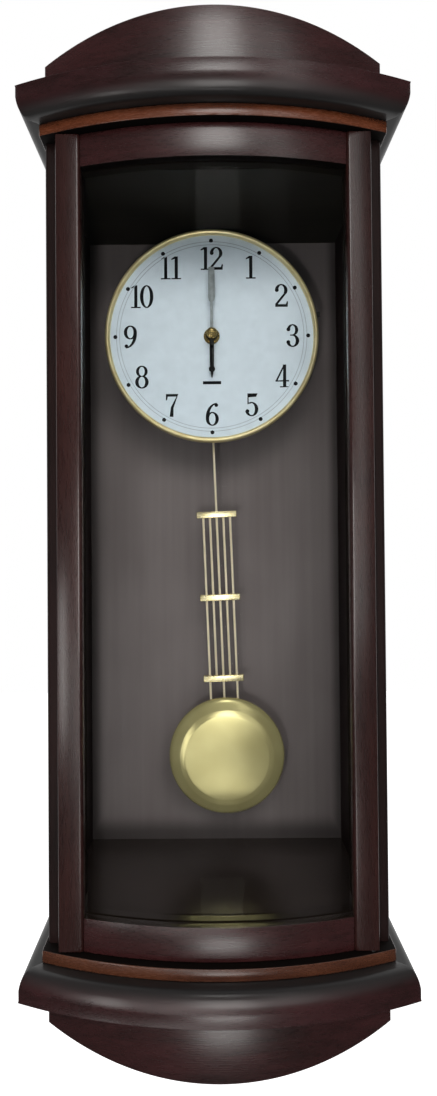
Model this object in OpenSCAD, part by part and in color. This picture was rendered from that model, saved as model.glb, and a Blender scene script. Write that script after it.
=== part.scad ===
// Chiming wall clock with a bowed front: a narrow dark wooden case, a glazed door on pivots,
// a round dial with a quartz chime movement behind it, and a five-rod lyre pendulum.
// Origin: centre of the entry hole of the hanging keyhole, on the wall plane.
// The wall is at y = 0, the front faces -Y, +X is to the right and +Z is up.

/* [Case] */
// Width over the side panels
case_w = 245; // [236:1:270]
// Thickness of a side panel
side_t = 9.5; // [8:0.5:12]
// Depth of the side panels, from the wall to their front edges
case_d = 130; // [126:1:150]
// Height of the side panels, between the two belt boards
case_h = 578; // [568:1:640]
// Thickness of the top and bottom boards
board_t = 16.5; // [14:0.5:20]
// Thickness of the back board
back_t = 5; // [4:0.5:6]
// Recess between the back board and the wall
back_recess = 7.5; // [7:0.5:9]
// Depth of the side panel groove that holds the back board
groove_d = 4; // [2:0.5:5]
// Radius of the soft front corner of a side panel
side_round = 2.5; // [1:0.5:4]

/* [Bowed front] */
// Radius of the bowed face of the door rails
bow_r = 395; // [360:5:450]
// Thickness of a belt board
belt_t = 8.5; // [6:0.5:11]
// How far a belt board stands out in front of the door rails
belt_lip = 5.5; // [4:0.5:8]
// How far a belt board stands out beyond a side panel
belt_side = 2; // [1:0.5:4]
// Height of a cornice moulding
cornice_h = 20.5; // [17:0.5:26]
// How far a cornice stands out beyond its belt board
cornice_out = 14; // [11:0.5:18]
// Flat shelf between the belt board and the rounded part of a cornice
cornice_shelf = 5.5; // [3:0.5:7]
// Height of the flat fascia on a cornice
fascia_h = 8; // [5:0.5:10]
// Step between the rounded part and the fascia
fascia_step = 0.7; // [0.4:0.1:1.5]
// Width of a cornice moulding behind the face of the belt board
cornice_back = 8; // [6:0.5:12]
// Thickness of the arched pediment and the arched apron
arch_t = 12; // [10:0.5:14]
// Height of the arched pieces at their ends
arch_end_h = 19.5; // [12:0.5:26]
// Rise of the arch from its ends to its middle
arch_rise = 27.5; // [20:0.5:36]
// Distance of an arch end from the side panel's outer face
arch_inset = 3; // [2:0.5:8]

/* [Door] */
// How far the stiles stand in front of the side panels
door_proud = 12; // [11:0.5:13]
// Thickness of a stile
stile_t = 17.5; // [17:0.5:18]
// Width of a stile
stile_w = 17.5; // [16:0.5:22]
// Radius of the soft inner edge of a stile
stile_round = 2.5; // [1.5:0.5:3]
// Height of a door rail
rail_h = 23.3; // [21:0.1:30]
// Thickness of a door rail
rail_t = 15; // [14.5:0.5:15.5]
// How far the ends of the rails lie behind the face of the stiles
rail_set = 1; // [0.5:0.25:1.5]
// Gap around the door
door_gap = 1; // [0.8:0.1:2]
// Gap between the closed door and the boards behind it
door_back_gap = 1.5; // [1.2:0.1:3]
// Thickness of the glass
glass_t = 2.5; // [2:0.5:3]
// Depth of the glass behind the face of the rails
glass_set = 6; // [5.5:0.5:6.5]
// How far the glass reaches into the stiles and rails
glass_bite = 5; // [4:0.5:5.5]
// Distance of the pivot axis from the outer edge of the stile
pivot_in = 4; // [3.5:0.5:5]
// Diameter of a pivot pin
pivot_pin_d = 4; // [3:0.5:4]
// Length of a pivot pin inside the stile
pivot_len = 9; // [7:0.5:12]
// Furthest opening angle of the door
door_open = 105; // [80:5:105]

/* [Dial and hands] */
// Distance of the dial centre from the middle of the case
dial_x = -1.5; // [-3:0.5:3]
// Distance of the dial centre below the top of the side panels
dial_drop = 117.5; // [114:0.5:129]
// Distance of the dial face in front of the back board
dial_out = 45; // [44:0.5:50]
// Radius of the bezel
dial_r = 90; // [84:0.5:98]
// Thickness of the dial plate
dial_t = 2; // [1:0.5:2.5]
// Width of the bezel ring
bezel_w = 4.2; // [3:0.1:6]
// Height of the bezel in front of the dial
bezel_h = 3.6; // [2.5:0.1:5]
// Height of a numeral
numeral_h = 19; // [15:0.5:20]
// Radius on which the numerals 12 and 6 are centred
numeral_r = 66.2; // [62:0.2:68]
// How much further out the numerals 3 and 9 are centred
numeral_spread = 2.5; // [0:0.5:4]
// Radius of the ring of hour dots
dot_ring_r = 81.4; // [78:0.2:83]
// Diameter of an hour dot
dot_d = 3.4; // [2:0.1:4]
// Thickness of the printed ink
ink_t = 0.15; // [0.1:0.05:0.3]
// Length of the minute hand
minute_len = 55.5; // [45:0.5:62]
// Length of the hour hand
hour_len = 36.5; // [28:0.5:42]
// Thickness of a hand
hand_t = 0.8; // [0.6:0.1:1.1]

/* [Movement] */
// Width of the movement housing
mov_w = 104; // [102:1:110]
// Height of the movement housing
mov_h = 120; // [120:1:124]
// Wall of the movement housing
mov_wall = 2; // [1.5:0.5:2.5]
// Radius of the minute arbor
arbor_r = 1.6; // [1.4:0.1:1.7]
// Radius of the hour tube
hour_tube_r = 3; // [2.7:0.1:3.2]
// Running clearance on a radius
run = 0.05; // [0.03:0.01:0.08]
// Distance between the centre arbor and the setting arbor
gear_dist = 12; // [11.5:0.5:13]
// Diameter of a cell
cell_d = 14.5; // [14:0.1:14.6]
// Length of a cell
cell_l = 50.5; // [49:0.5:51]
// Diameter of the speaker
speaker_d = 36; // [32:1:40]
// Travel of the chime lever
lever_travel = 8; // [4:0.5:8]

/* [Pendulum] */
// Distance of the pendulum behind the dial face
pend_back = 10; // [9.5:0.25:10.5]
// Distance of the pendulum pivot below the dial centre
pivot_drop = 67.5; // [67:0.5:69]
// Angle at which the pendulum is caught in its swing
lean = 2.05; // [0:0.05:4]
// Furthest swing to either side of plumb
swing = 6; // [3:0.5:7]
// Distance of the upper bar below the pivot
bar_1 = 83; // [76:1:90]
// Distance of the lower bar above the bob centre
bar_3_up = 65; // [62:1:80]
// Gap between the bob and the bottom board
bob_gap = 39.5; // [36:0.5:48]
// Radius of the bob
bob_r = 49; // [40:0.5:52]
// Height of the bob's dome
bob_dome = 7; // [5:0.5:9]
// Length of a lyre bar
bar_l = 34.5; // [32:0.5:40]
// Height of a lyre bar
bar_h = 6.5; // [5:0.5:8]
// Thickness of a lyre bar
bar_t = 5; // [4:0.5:6]
// Diameter of a pendulum rod
rod_d = 2; // [1.6:0.1:2.4]
// Distance between neighbouring rods
rod_gap = 5.75; // [5:0.25:6.5]

/* [Hanging] */
// Distance of the keyhole below the top of the side panels
hang_drop = 27; // [27:1:31]
// Diameter of the keyhole's entry hole
key_d = 10; // [8:0.5:11]
// Width of the keyhole's slot
key_slot = 4.5; // [4:0.25:5]
// Thickness of the keyhole plate
key_t = 1.5; // [1.2:0.1:2]
// Height of the hanging cleat
cleat_h = 50; // [46:1:60]
// Thickness of a felt pad
pad_t = 1.5; // [1:0.5:3]

/* [Hidden] */

// Small clearances
fit = 0.1;
slip = 0.02;
eps = 0.01;
fine = 720;
round_fn = 96;

// Case
half_w = case_w / 2;
in_w = half_w - side_t;
half_h = case_h / 2;
back_front = -(back_recess + back_t);
case_front = -case_d;
inner_h = half_h - board_t;
hang_z = half_h - hang_drop;
dial_z = half_h - dial_drop;
cut_edge = 9;
pad_r = 9;

// Door, from the hinge side inwards
door_half = in_w - door_gap;
door_h = half_h - door_gap;
stile_in = door_half - stile_w;
stile_front = case_front - door_proud;
stile_back = stile_front + stile_t;
board_front = stile_back + door_back_gap;
rail_in = door_h - rail_h;

// Bow: one centre for the rails, the glass, the belts, the cornices and the arched pieces
bow_y = stile_front + rail_set + sqrt(bow_r * bow_r - stile_in * stile_in);
belt_r = bow_r + belt_lip;
belt_half = half_w + belt_side;
cornice_r = belt_r + cornice_out;
cornice_half = belt_half + cornice_out;
glass_r = bow_r - glass_set;
function bow_at(r, x) = bow_y - sqrt(r * r - x * x);

// Cornice and arch heights above the middle of the case
belt_top = half_h + belt_t;
cornice_top = belt_top + cornice_h;
arch_half = half_w - arch_inset;
arch_end = cornice_top + arch_end_h;
arch_top = arch_end + arch_rise;
arch_r = (arch_half * arch_half + arch_rise * arch_rise) / (2 * arch_rise);

// Pivot axis of the door
pivot_x = door_half - pivot_in;
pivot_y = stile_front + pivot_in;
bush_r = pivot_pin_d / 2 + 1;

// Movement, measured from the wall
dial_face = back_front - dial_out;
dial_rear = dial_face + dial_t;
shell_in = dial_rear + mov_wall;
cover_in = back_front - mov_wall;
plate_t = 1.5;
plate_front = shell_in + 8;
plate_rear = plate_front + plate_t;
pend_y = dial_face + pend_back;
boss_x = mov_w / 2 - 5;
boss_z = mov_h / 2 - 5;
boss_r = 4;
nut_r = 5.4;
tube_r = hour_tube_r + run + 1;
tube_end = dial_face - 3.6;
hour_hand_y = tube_end - 1.2;
hour_tube_end = hour_hand_y - hand_t;
minute_hand_y = hour_tube_end - 1.6;
arbor_end = minute_hand_y - hand_t - 1.2;

// Gears of the motion work: tooth counts, and modules from the shared centre distance
cannon_n = 12;
minute_n = 36;
pinion_n = 10;
hour_n = 40;
mod_1 = 2 * gear_dist / (cannon_n + minute_n);
mod_2 = 2 * gear_dist / (pinion_n + hour_n);
hour_layer = shell_in + 0.5;
minute_layer = hour_layer + 2.6;
wheel_t = 1.8;

// Rear of the movement
cell_pitch = cell_d + 1;
cell_z = -34;
cell_y = cover_in - 0.6 - cell_d / 2;
tray_w = cell_l + 7;
tray_h = 2 * cell_d + 4;
tray_wall = 1.2;
tray_front = cell_y - cell_d / 2 - 0.4 - tray_wall;
set_z = gear_dist;
set_r = 1.5;
knob_r = 8;
speaker_x = mov_w / 2 - 26;
speaker_z = 34;
volume_x = 18 - mov_w / 2;
volume_z = -4;
pcb_x = 6 - mov_w / 2;
pcb_z = mov_h / 2 - 8;
pcb_w = 36;
pcb_h = 40;
lever_z = 20;
lever_h = 4;
lever_t = 1.2;
lever_y = shell_in + 1;
lever_tip = sqrt(pow(dial_r + 4.5, 2) - lever_z * lever_z);

// Pendulum: the bob hangs clear of the bottom board, and the bars share the height above it
bob_drop = dial_z - pivot_drop + inner_h - bob_r - bob_gap;
bar_3 = bob_drop - bar_3_up;
bar_2 = bar_1 + 0.507 * (bar_3 - bar_1);

// Neck under the movement that carries the pendulum
neck_half = 16;
neck_end = pivot_drop + 12.5;
neck_rear = pend_y + 6;
pin_r = 1;
arm_t = 3;
magnet_up = 21.5;
tongue_z = -10;
block_top = -7;
block_end = -18.5;

// Keyhole plate
key_w = 30;
key_low = -14;
key_high = 24;
key_slot_l = 12;

// Colours
wood = [0.23, 0.13, 0.12];
belt_wood = [0.42, 0.24, 0.17];
panel = [0.34, 0.31, 0.30];
raw_wood = [0.62, 0.48, 0.34];
brass = [0.80, 0.68, 0.38];
steel = [0.70, 0.71, 0.73];
black = [0.09, 0.09, 0.10];
grey = [0.45, 0.46, 0.48];

// Everything is modelled from the middle of the case and lowered so that the keyhole is the origin
module placed() { translate([0, 0, -hang_z]) children(); }
module mirrored_x(on) { mirror([on ? 1 : 0, 0, 0]) children(); }
module mirrored_z(on) { mirror([0, 0, on ? 1 : 0]) children(); }

// A cylinder along Y from y0 to y1
module rod_y(r, y0, y1, fn = round_fn) {
    translate([0, y0, 0]) rotate([-90, 0, 0]) cylinder(r = r, h = y1 - y0, $fn = fn);
}
// A cylinder along X from x0 to x1
module rod_x(r, x0, x1, fn = 48) {
    translate([x0, 0, 0]) rotate([0, 90, 0]) cylinder(r = r, h = x1 - x0, $fn = fn);
}
// A cylinder along Z from z0 to z1
module rod_z(r, z0, z1, fn = 48) { translate([0, 0, z0]) cylinder(r = r, h = z1 - z0, $fn = fn); }
// A box between two corners
module box(a, b) { translate(a) cube(b - a); }
// A flat outline in X and Z, given thickness from y0 to y1
module sheet(y0, y1) { translate([0, y1, 0]) rotate([90, 0, 0]) linear_extrude(y1 - y0) children(); }

// A band of the bow between two radii and two heights, cut off at x = -half and half
module bow_band(r_in, r_out, z0, z1, half) {
    translate([0, 0, z0]) linear_extrude(z1 - z0) intersection() {
        translate([0, bow_y]) difference() {
            circle(r = r_out, $fn = fine);
            circle(r = r_in, $fn = fine);
        }
        translate([-half, bow_y - 2 * r_out]) square([2 * half, 2 * r_out]);
    }
}

// Bores that several pieces share
module board_dowel_axes() {
    for (y = [-100, -62, -28]) translate([0, y, half_h - board_t / 2]) children();
}
module door_dowel_axes() {
    for (z = [rail_in + 10, door_h - 4.5]) translate([0, bow_at(bow_r - 8.5, stile_in), z]) children();
}
module case_screw_axes() { for (y = [-105, -35]) translate([half_w - side_t / 2, y, 0]) children(); }
module bead_pin_axes_side() {
    for (z = [-200, -70, 70, 200]) translate([0, stile_back - 3, z]) children();
}

// Case
module side_outline() {
    difference() {
        square([side_t, case_d]);
        translate([side_t - side_round, 0]) difference() {
            translate([0, -eps]) square([side_round + eps, side_round + eps]);
            translate([0, side_round]) circle(r = side_round, $fn = 64);
        }
    }
}
module side_panel(left) {
    color(wood) placed() mirrored_x(left) difference() {
        translate([in_w, case_front, -half_h]) linear_extrude(case_h) side_outline();
        box([in_w - 1, back_front - fit, -half_h - 1],
            [in_w + groove_d, fit - back_recess, half_h + 1]);
        for (s = [0, 1]) mirrored_z(s == 1) {
            board_dowel_axes() rod_x(3, in_w - 1, in_w + 6);
            case_screw_axes() rod_z(1.5, half_h - 24, half_h + 1);
        }
        if (left) for (z = [-9, 9]) translate([0, catch_y, z]) rod_x(1, in_w - 1, in_w + 6);
    }
}
module side_panel_left() { side_panel(true); }
module side_panel_right() { side_panel(false); }

module inner_board() {
    difference() {
        box([-in_w, board_front, inner_h], [in_w, back_front, half_h]);
        for (s = [0, 1]) mirrored_x(s == 1) board_dowel_axes() rod_x(3, in_w - 14, in_w + 1);
    }
}
module top_board() { color(wood) placed() inner_board(); }
module bottom_board() { color(wood) placed() mirrored_z(true) inner_board(); }
module case_dowels() {
    color(raw_wood) placed() for (a = [0, 1], b = [0, 1]) mirrored_x(a == 1) mirrored_z(b == 1)
        board_dowel_axes() rod_x(3 - slip, in_w - 13.5, in_w + 5.5);
}

module back_board() {
    color(panel) placed() difference() {
        box([-in_w - groove_d + fit, back_front, -half_h],
            [in_w + groove_d - fit, -back_recess, half_h]);
        box([dial_x - mov_w / 2 + cut_edge + 1, back_front - 1, dial_z - mov_h / 2 + cut_edge],
            [dial_x + mov_w / 2 - cut_edge - 1, 1 - back_recess, dial_z + mov_h / 2 - cut_edge]);
        translate([dial_x, 0, dial_z]) boss_axes() rod_y(2.2, back_front - 1, 1 - back_recess, 48);
    }
}

// Belt boards: flat boards with a bowed front edge that close the case above and below
module belt_board() {
    difference() {
        translate([0, 0, half_h]) linear_extrude(belt_t) intersection() {
            translate([0, bow_y]) circle(r = belt_r, $fn = fine);
            translate([-belt_half, bow_y - belt_r]) square([2 * belt_half, belt_r - bow_y]);
        }
        for (s = [0, 1]) mirrored_x(s == 1) case_screw_axes() {
            rod_z(1.9, half_h - 1, belt_top + 1);
            translate([0, 0, belt_top - 2.4]) cylinder(r1 = 1.9, r2 = 4.4, h = 2.5, $fn = 48);
        }
        translate([pivot_x, pivot_y, 0]) rod_z(pivot_pin_d / 2 + slip, half_h - 1, belt_top + 1);
    }
}
module upper_belt() { color(belt_wood) placed() belt_board(); }
module lower_belt() { color(belt_wood) placed() mirrored_z(true) belt_board(); }
module case_screws() {
    color(steel) placed() for (a = [0, 1], b = [0, 1]) mirrored_x(a == 1) mirrored_z(b == 1)
        case_screw_axes() difference() {
            union() {
                rod_z(1.5 - slip, half_h - 23, belt_top - 1);
                translate([0, 0, belt_top - 2.4]) cylinder(r1 = 1.8, r2 = 4.2, h = 2.4, $fn = 48);
            }
            box([-3, -0.5, belt_top - 0.9], [3, 0.5, belt_top + 1]);
            box([-0.5, -3, belt_top - 0.9], [0.5, 3, belt_top + 1]);
        }
}

// Cornice profile as width beyond the belt face and height: shelf, rounded part, step, fascia
function cornice_profile() = let (
    low = belt_top, mid = cornice_top - fascia_h,
    round_w = cornice_out - fascia_step - cornice_shelf) concat(
    [[-cornice_back, low], [cornice_shelf, low]],
    [for (i = [0:14]) let (a = i * 90 / 14)
        [cornice_shelf + round_w * sin(a), mid - (mid - low) * cos(a)]],
    [[cornice_out, mid], [cornice_out, cornice_top], [-cornice_back, cornice_top]]);
// Both mouldings meet on a plane through the inner and the outer corner
mitre_in = [belt_half - cornice_back, bow_at(belt_r - cornice_back, belt_half - cornice_back)];
mitre_out = [cornice_half, bow_at(cornice_r, cornice_half)];
mitre_far = mitre_out + (mitre_out - mitre_in) * 0.6;
mitre_near = mitre_in - (mitre_out - mitre_in) * 0.6;
module cornice_front() {
    intersection() {
        translate([0, bow_y, 0]) rotate([0, 0, -120]) rotate_extrude(angle = 60, $fn = fine)
            translate([belt_r, 0]) polygon(cornice_profile());
        translate([0, 0, belt_top - 1]) linear_extrude(cornice_h + 2) polygon([
            [-mitre_near[0], mitre_near[1]], [-mitre_far[0], mitre_far[1]],
            [-mitre_far[0], bow_y - 2 * bow_r], [mitre_far[0], bow_y - 2 * bow_r],
            mitre_far, mitre_near]);
    }
}
module cornice_return() {
    intersection() {
        translate([belt_half, 0, 0]) rotate([90, 0, 0]) linear_extrude(-mitre_far[1] + 60)
            polygon(cornice_profile());
        translate([0, 0, belt_top - 1]) linear_extrude(cornice_h + 2) polygon([
            mitre_near, mitre_far, [mitre_far[0] + 20, mitre_far[1]],
            [mitre_far[0] + 20, 1], [mitre_near[0], 1]]);
    }
}
module upper_cornice_front() { color(wood) placed() cornice_front(); }
module lower_cornice_front() { color(wood) placed() mirrored_z(true) cornice_front(); }
module cornice_returns() {
    color(wood) placed() for (a = [0, 1], b = [0, 1]) mirrored_x(a == 1) mirrored_z(b == 1)
        cornice_return();
}

// Arched pieces: a bowed board whose free edge is an arc
module arch_outline() {
    intersection() {
        translate([0, arch_top - arch_r]) circle(r = arch_r, $fn = fine);
        translate([-arch_half, cornice_top]) square([2 * arch_half, arch_rise + arch_end_h]);
    }
}
module arched_board() {
    intersection() {
        bow_band(belt_r - arch_t, belt_r, cornice_top, arch_top + 1, arch_half);
        sheet(bow_y - 2 * bow_r, 0) arch_outline();
    }
}
module arched_pediment() { color(wood) placed() arched_board(); }
module arched_apron() { color(wood) placed() mirrored_z(true) arched_board(); }

block_w = 18;
block_d = 14;
block_x = arch_half - 39.5;
module glue_block(x) {
    difference() {
        box([x - block_w / 2, bow_at(belt_r - cornice_back, x) - 5, belt_top],
            [x + block_w / 2, bow_at(belt_r - arch_t, x) + block_d, cornice_top + arch_end_h - 6]);
        bow_band(belt_r - cornice_back, belt_r + 20, belt_top - 1, cornice_top + 1, arch_half);
        bow_band(belt_r - arch_t, belt_r + 20, cornice_top, arch_top, arch_half);
    }
}
module glue_blocks() {
    color(raw_wood) placed() for (x = [-block_x, 0, block_x], s = [0, 1]) mirrored_z(s == 1) glue_block(x);
}

// Hanging hardware at the back of the case
key_screw_x = key_w / 2 - 4;
module cleats() {
    color(raw_wood) placed() box([-in_w, -back_recess, -half_h], [in_w, -pad_t, 32 - half_h]);
    color(raw_wood) placed() difference() {
        box([-in_w, -back_recess, half_h - cleat_h], [in_w, 0, half_h]);
        translate([0, 0, hang_z]) {
            box([-key_w / 2 - fit, -key_t - fit, key_low - fit], [key_w / 2 + fit, 1, key_high + fit]);
            box([-7, -back_recess - 1, -7], [7, 1, key_slot_l + 7]);
            for (x = [-1, 1]) translate([x * key_screw_x, 0, -9]) rod_y(1.3, -6.5, 0, 32);
        }
    }
}
module keyhole_plate() {
    color(steel) difference() {
        box([-key_w / 2, -key_t, key_low], [key_w / 2, 0, key_high]);
        rod_y(key_d / 2, -key_t - 1, 1);
        box([-key_slot / 2, -key_t - 1, 0], [key_slot / 2, 1, key_slot_l]);
        translate([0, 0, key_slot_l]) rod_y(key_slot / 2, -key_t - 1, 1);
        for (x = [-1, 1]) translate([x * key_screw_x, 0, -9]) rod_y(1.6, -key_t - 1, 1, 32);
    }
}
module keyhole_screws() {
    color(steel) for (x = [-1, 1]) translate([x * key_screw_x, 0, -9]) rod_y(1.3 - slip, -6, -0.1, 32);
}
module felt_pads() {
    color([0.25, 0.27, 0.26]) placed() for (s = [-1, 1])
        translate([s * (in_w - pad_r - 14), 0, pad_r + 7 - half_h]) rod_y(pad_r, -pad_t, 0, 48);
}

// Magnetic catch on the left side panel, hidden behind the left stile
catch_w = 8;
catch_d = 16;
catch_h = 30;
catch_front = stile_back + 1.6;
catch_y = catch_front + catch_d / 2;
module magnet_catch() {
    color(black) placed() difference() {
        union() {
            box([-in_w, catch_front + 1, -catch_h / 2],
                [catch_w - in_w, catch_front + catch_d, catch_h / 2]);
            box([1 - in_w, catch_front, -9], [catch_w - 1 - in_w, catch_front + 2, 9]);
            for (z = [-9, 9]) translate([0, catch_y, z]) rod_x(1 - slip, -in_w - 5.5, -in_w + eps);
        }
        for (z = [-12, 12]) translate([0, catch_y, z]) rod_x(1.2, catch_w - in_w - 3, catch_w - in_w + 1);
    }
}

// Door
module stile(left) {
    color(wood) placed() mirrored_x(left) difference() {
        translate([stile_in, stile_front, -door_h]) linear_extrude(2 * door_h) difference() {
            square([stile_w, stile_t]);
            difference() {
                translate([-eps, -eps]) square(stile_round + eps);
                translate([stile_round, stile_round]) circle(r = stile_round, $fn = 64);
            }
        }
        box([stile_in - 1, bow_at(glass_r, stile_in) - 0.3, -rail_in - glass_bite],
            [stile_in + glass_bite + 0.5, stile_back + 1, rail_in + glass_bite]);
        for (s = [0, 1]) mirrored_z(s == 1) {
            door_dowel_axes() rod_x(2, stile_in - 1, stile_in + 9, 32);
            if (!left) translate([pivot_x, pivot_y, 0]) rod_z(bush_r, door_h - pivot_len - 1, door_h + 1);
        }
        bead_pin_axes_side() rod_x(0.6, stile_in + 1, stile_in + glass_bite + 4, 24);
        if (left) for (z = [-11, 11]) translate([stile_in + stile_w / 2 + 2, 0, z])
            rod_y(1, stile_back - 5, stile_back + 1, 24);
    }
}
module door_stile_left() { stile(true); }
module door_stile_right() { stile(false); }

module rail() {
    difference() {
        bow_band(bow_r - rail_t, bow_r, rail_in, door_h, stile_in);
        bow_band(bow_r - rail_t - 1, glass_r + 0.2, rail_in - 1, rail_in + glass_bite, stile_in + 1);
        for (s = [0, 1]) mirrored_x(s == 1) door_dowel_axes() rod_x(2, stile_in - 9, stile_in + 1, 32);
        for (x = bead_pin_x) translate([x, bow_at(bead_r, x), 0])
            rod_z(0.6, rail_in + glass_bite - 1, rail_in + glass_bite + 4, 24);
    }
}
module door_rail_top() { color(wood) placed() rail(); }
module door_rail_bottom() { color(wood) placed() mirrored_z(true) rail(); }
module door_dowels() {
    color(raw_wood) placed() for (a = [0, 1], b = [0, 1]) mirrored_x(a == 1) mirrored_z(b == 1)
        door_dowel_axes() rod_x(2 - slip, stile_in - 8.6, stile_in + 8.6, 32);
}
module door_glass() {
    color([0.75, 0.85, 0.85, 0.35]) placed()
        bow_band(glass_r - glass_t, glass_r, 0.4 - rail_in - glass_bite, rail_in + glass_bite - 0.4,
            stile_in + glass_bite);
}

// Wooden beads behind the glass, with a pin through each at four places
bead_pin_x = [-60, 0, 60];
bead_r = glass_r - glass_t - 2.6;
module glass_beads() {
    color(wood) placed() {
        for (s = [0, 1]) mirrored_x(s == 1) {
            box([stile_in + 0.2, bow_at(glass_r - glass_t, stile_in + glass_bite) + 0.3, 0.2 - rail_in],
                [stile_in + glass_bite + 0.5, stile_back, rail_in - 0.2]);
            bead_pin_axes_side() rod_x(0.6 - slip, stile_in + glass_bite, stile_in + glass_bite + 3.6, 24);
        }
        for (s = [0, 1]) mirrored_z(s == 1) {
            bow_band(bow_r - rail_t + 0.2, glass_r - glass_t - 0.3, rail_in + 0.2, rail_in + glass_bite,
                stile_in - 0.2);
            for (x = bead_pin_x) translate([x, bow_at(bead_r, x), 0])
                rod_z(0.6 - slip, rail_in + glass_bite - 0.5, rail_in + glass_bite + 3.6, 24);
        }
    }
}
module strike_plate() {
    color(steel) placed() translate([-(stile_in + stile_w / 2 + 2), 0, 0]) {
        box([-5, stile_back, -14], [5, stile_back + 1, 14]);
        for (z = [-11, 11]) translate([0, 0, z]) rod_y(1 - slip, stile_back - 4.5, stile_back + 0.5, 24);
    }
}

// Door pivots: fixed pins in the belt boards, bushes in the right stile
module pivot_pins() {
    color(steel) placed() for (s = [0, 1]) mirrored_z(s == 1) translate([pivot_x, pivot_y, 0]) {
        rod_z(pivot_pin_d / 2, door_h - pivot_len, belt_top - 0.2);
        if (s == 1) difference() {
            rod_z(bush_r - 0.1, door_h + fit, half_h);
            rod_z(pivot_pin_d / 2 - 0.1, door_h, half_h + 1);
        }
    }
}
module pivot_bushes() {
    color(brass) placed() for (s = [0, 1]) mirrored_z(s == 1) translate([pivot_x, pivot_y, 0]) difference() {
        rod_z(bush_r - slip, door_h - pivot_len - 0.9, door_h);
        rod_z(pivot_pin_d / 2 + run, door_h - pivot_len - 0.3, door_h + 1);
    }
}

// Dial
module at_dial() { placed() translate([dial_x, 0, dial_z]) children(); }
module dial_plate() {
    color([0.86, 0.90, 0.92]) at_dial() difference() {
        rod_y(dial_r - 1.6, dial_face, dial_rear, 180);
        rod_y(tube_r + fit, dial_face - 1, dial_rear + 1);
    }
}
// Bezel section as radius and distance in front of the dial plate's rear face
function bezel_profile() = let (e = dial_r - 1.6 + slip, w = dial_r - bezel_w) concat(
    [[e, 0], [dial_r, 0]],
    [for (i = [0:10]) let (a = i * 18)
        [dial_r - bezel_w / 2 + bezel_w / 2 * cos(a), dial_t + bezel_h - bezel_w / 2 + bezel_w / 2 * sin(a)]],
    [[w, dial_t], [e, dial_t]]);
module bezel() {
    color(brass) at_dial() translate([0, dial_rear, 0]) rotate([90, 0, 0]) rotate_extrude($fn = 180)
        polygon(bezel_profile());
}

// Numerals: digits of one unit height with thick and thin strokes, drawn with arcs
thin = 0.035;
thick = 0.13;
function arc(cx, cy, rx, ry, a0, a1, n = 20) =
    [for (i = [0:n]) let (a = a0 + (a1 - a0) * i / n) [cx + rx * cos(a), cy + ry * sin(a)]];
function back(p) = [for (i = [len(p) - 1:-1:0]) p[i]];
// A curved stroke that is thick at its sides and thin above and below
module bow_stroke(cx, cy, rx, ry, a0, a1, side = thick, cap = thin) {
    polygon(concat(arc(cx, cy, rx, ry, a0, a1), back(arc(cx, cy, rx - side, ry - cap, a0, a1))));
}
module ball(x, y, r = 0.075) { translate([x, y]) circle(r = r, $fn = 24); }
module digit_0() {
    difference() {
        polygon(arc(0.29, 0.5, 0.29, 0.5, 0, 351, 39));
        polygon(arc(0.29, 0.5, 0.155, 0.465, 0, 351, 39));
    }
}
module digit_1() {
    translate([0.21, 0]) square([thick, 1]);
    translate([0.07, 0]) square([0.41, thin]);
    polygon([[0.21, 1], [0.07, 0.90], [0.07, 0.87], [0.21, 0.91]]);
}
module digit_2() {
    bow_stroke(0.28, 0.73, 0.27, 0.27, -30, 168);
    ball(0.085, 0.74);
    polygon([[0.51, 0.60], [0.43, 0.63], [0.02, 0.12], [0.02, 0], [0.08, 0.06]]);
    polygon([[0.02, 0], [0.55, 0], [0.57, 0.22], [0.53, 0.22], [0.49, 0.10], [0.10, 0.10]]);
}
module digit_3() {
    bow_stroke(0.27, 0.755, 0.24, 0.245, -90, 160, 0.12);
    bow_stroke(0.27, 0.27, 0.28, 0.27, -160, 90, 0.135);
    translate([0.17, 0.505]) square([0.14, thin]);
    ball(0.085, 0.78);
    ball(0.075, 0.21);
}
module digit_4() {
    translate([0.33, 0]) square([thick, 1]);
    translate([0.20, 0]) square([0.38, thin]);
    translate([0, 0.26]) square([0.58, thin * 1.3]);
    polygon([[0.36, 1], [0.42, 1], [0.06, 0.27], [0, 0.27]]);
}
module digit_5() {
    bow_stroke(0.26, 0.31, 0.29, 0.31, -160, 118, 0.135);
    translate([0.09, 0.54]) square([thin, 0.46]);
    polygon([[0.09, 0.84], [0.12, 0.84], [0.46, 0.87], [0.52, 1], [0.09, 1]]);
    ball(0.075, 0.22);
}
module digit_6() {
    difference() {
        polygon(arc(0.29, 0.30, 0.28, 0.30, 0, 350, 35));
        polygon(arc(0.29, 0.30, 0.15, 0.265, 0, 350, 35));
    }
    bow_stroke(0.50, 0.36, 0.49, 0.64, 92, 180, 0.13);
    ball(0.47, 0.91, 0.07);
}
module digit_7() {
    polygon([[0.02, 0.74], [0.05, 0.74], [0.09, 0.90], [0.50, 0.90], [0.55, 1], [0.02, 1]]);
    polygon([[0.55, 1], [0.50, 0.92], [0.24, 0.42], [0.17, 0], [0.33, 0], [0.34, 0.40]]);
}
module digit_8() {
    difference() {
        union() {
            polygon(arc(0.29, 0.755, 0.25, 0.245, 0, 350, 35));
            polygon(arc(0.29, 0.28, 0.29, 0.28, 0, 350, 35));
        }
        polygon(arc(0.29, 0.755, 0.135, 0.21, 0, 350, 35));
        polygon(arc(0.29, 0.28, 0.155, 0.245, 0, 350, 35));
    }
}
module digit_9() { translate([0.58, 1]) rotate(180) digit_6(); }
module digit(n) {
    if (n == 0) digit_0();
    if (n == 1) digit_1();
    if (n == 2) digit_2();
    if (n == 3) digit_3();
    if (n == 4) digit_4();
    if (n == 5) digit_5();
    if (n == 6) digit_6();
    if (n == 7) digit_7();
    if (n == 8) digit_8();
    if (n == 9) digit_9();
}
digit_w = 0.58;
ten_w = 0.47;
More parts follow.
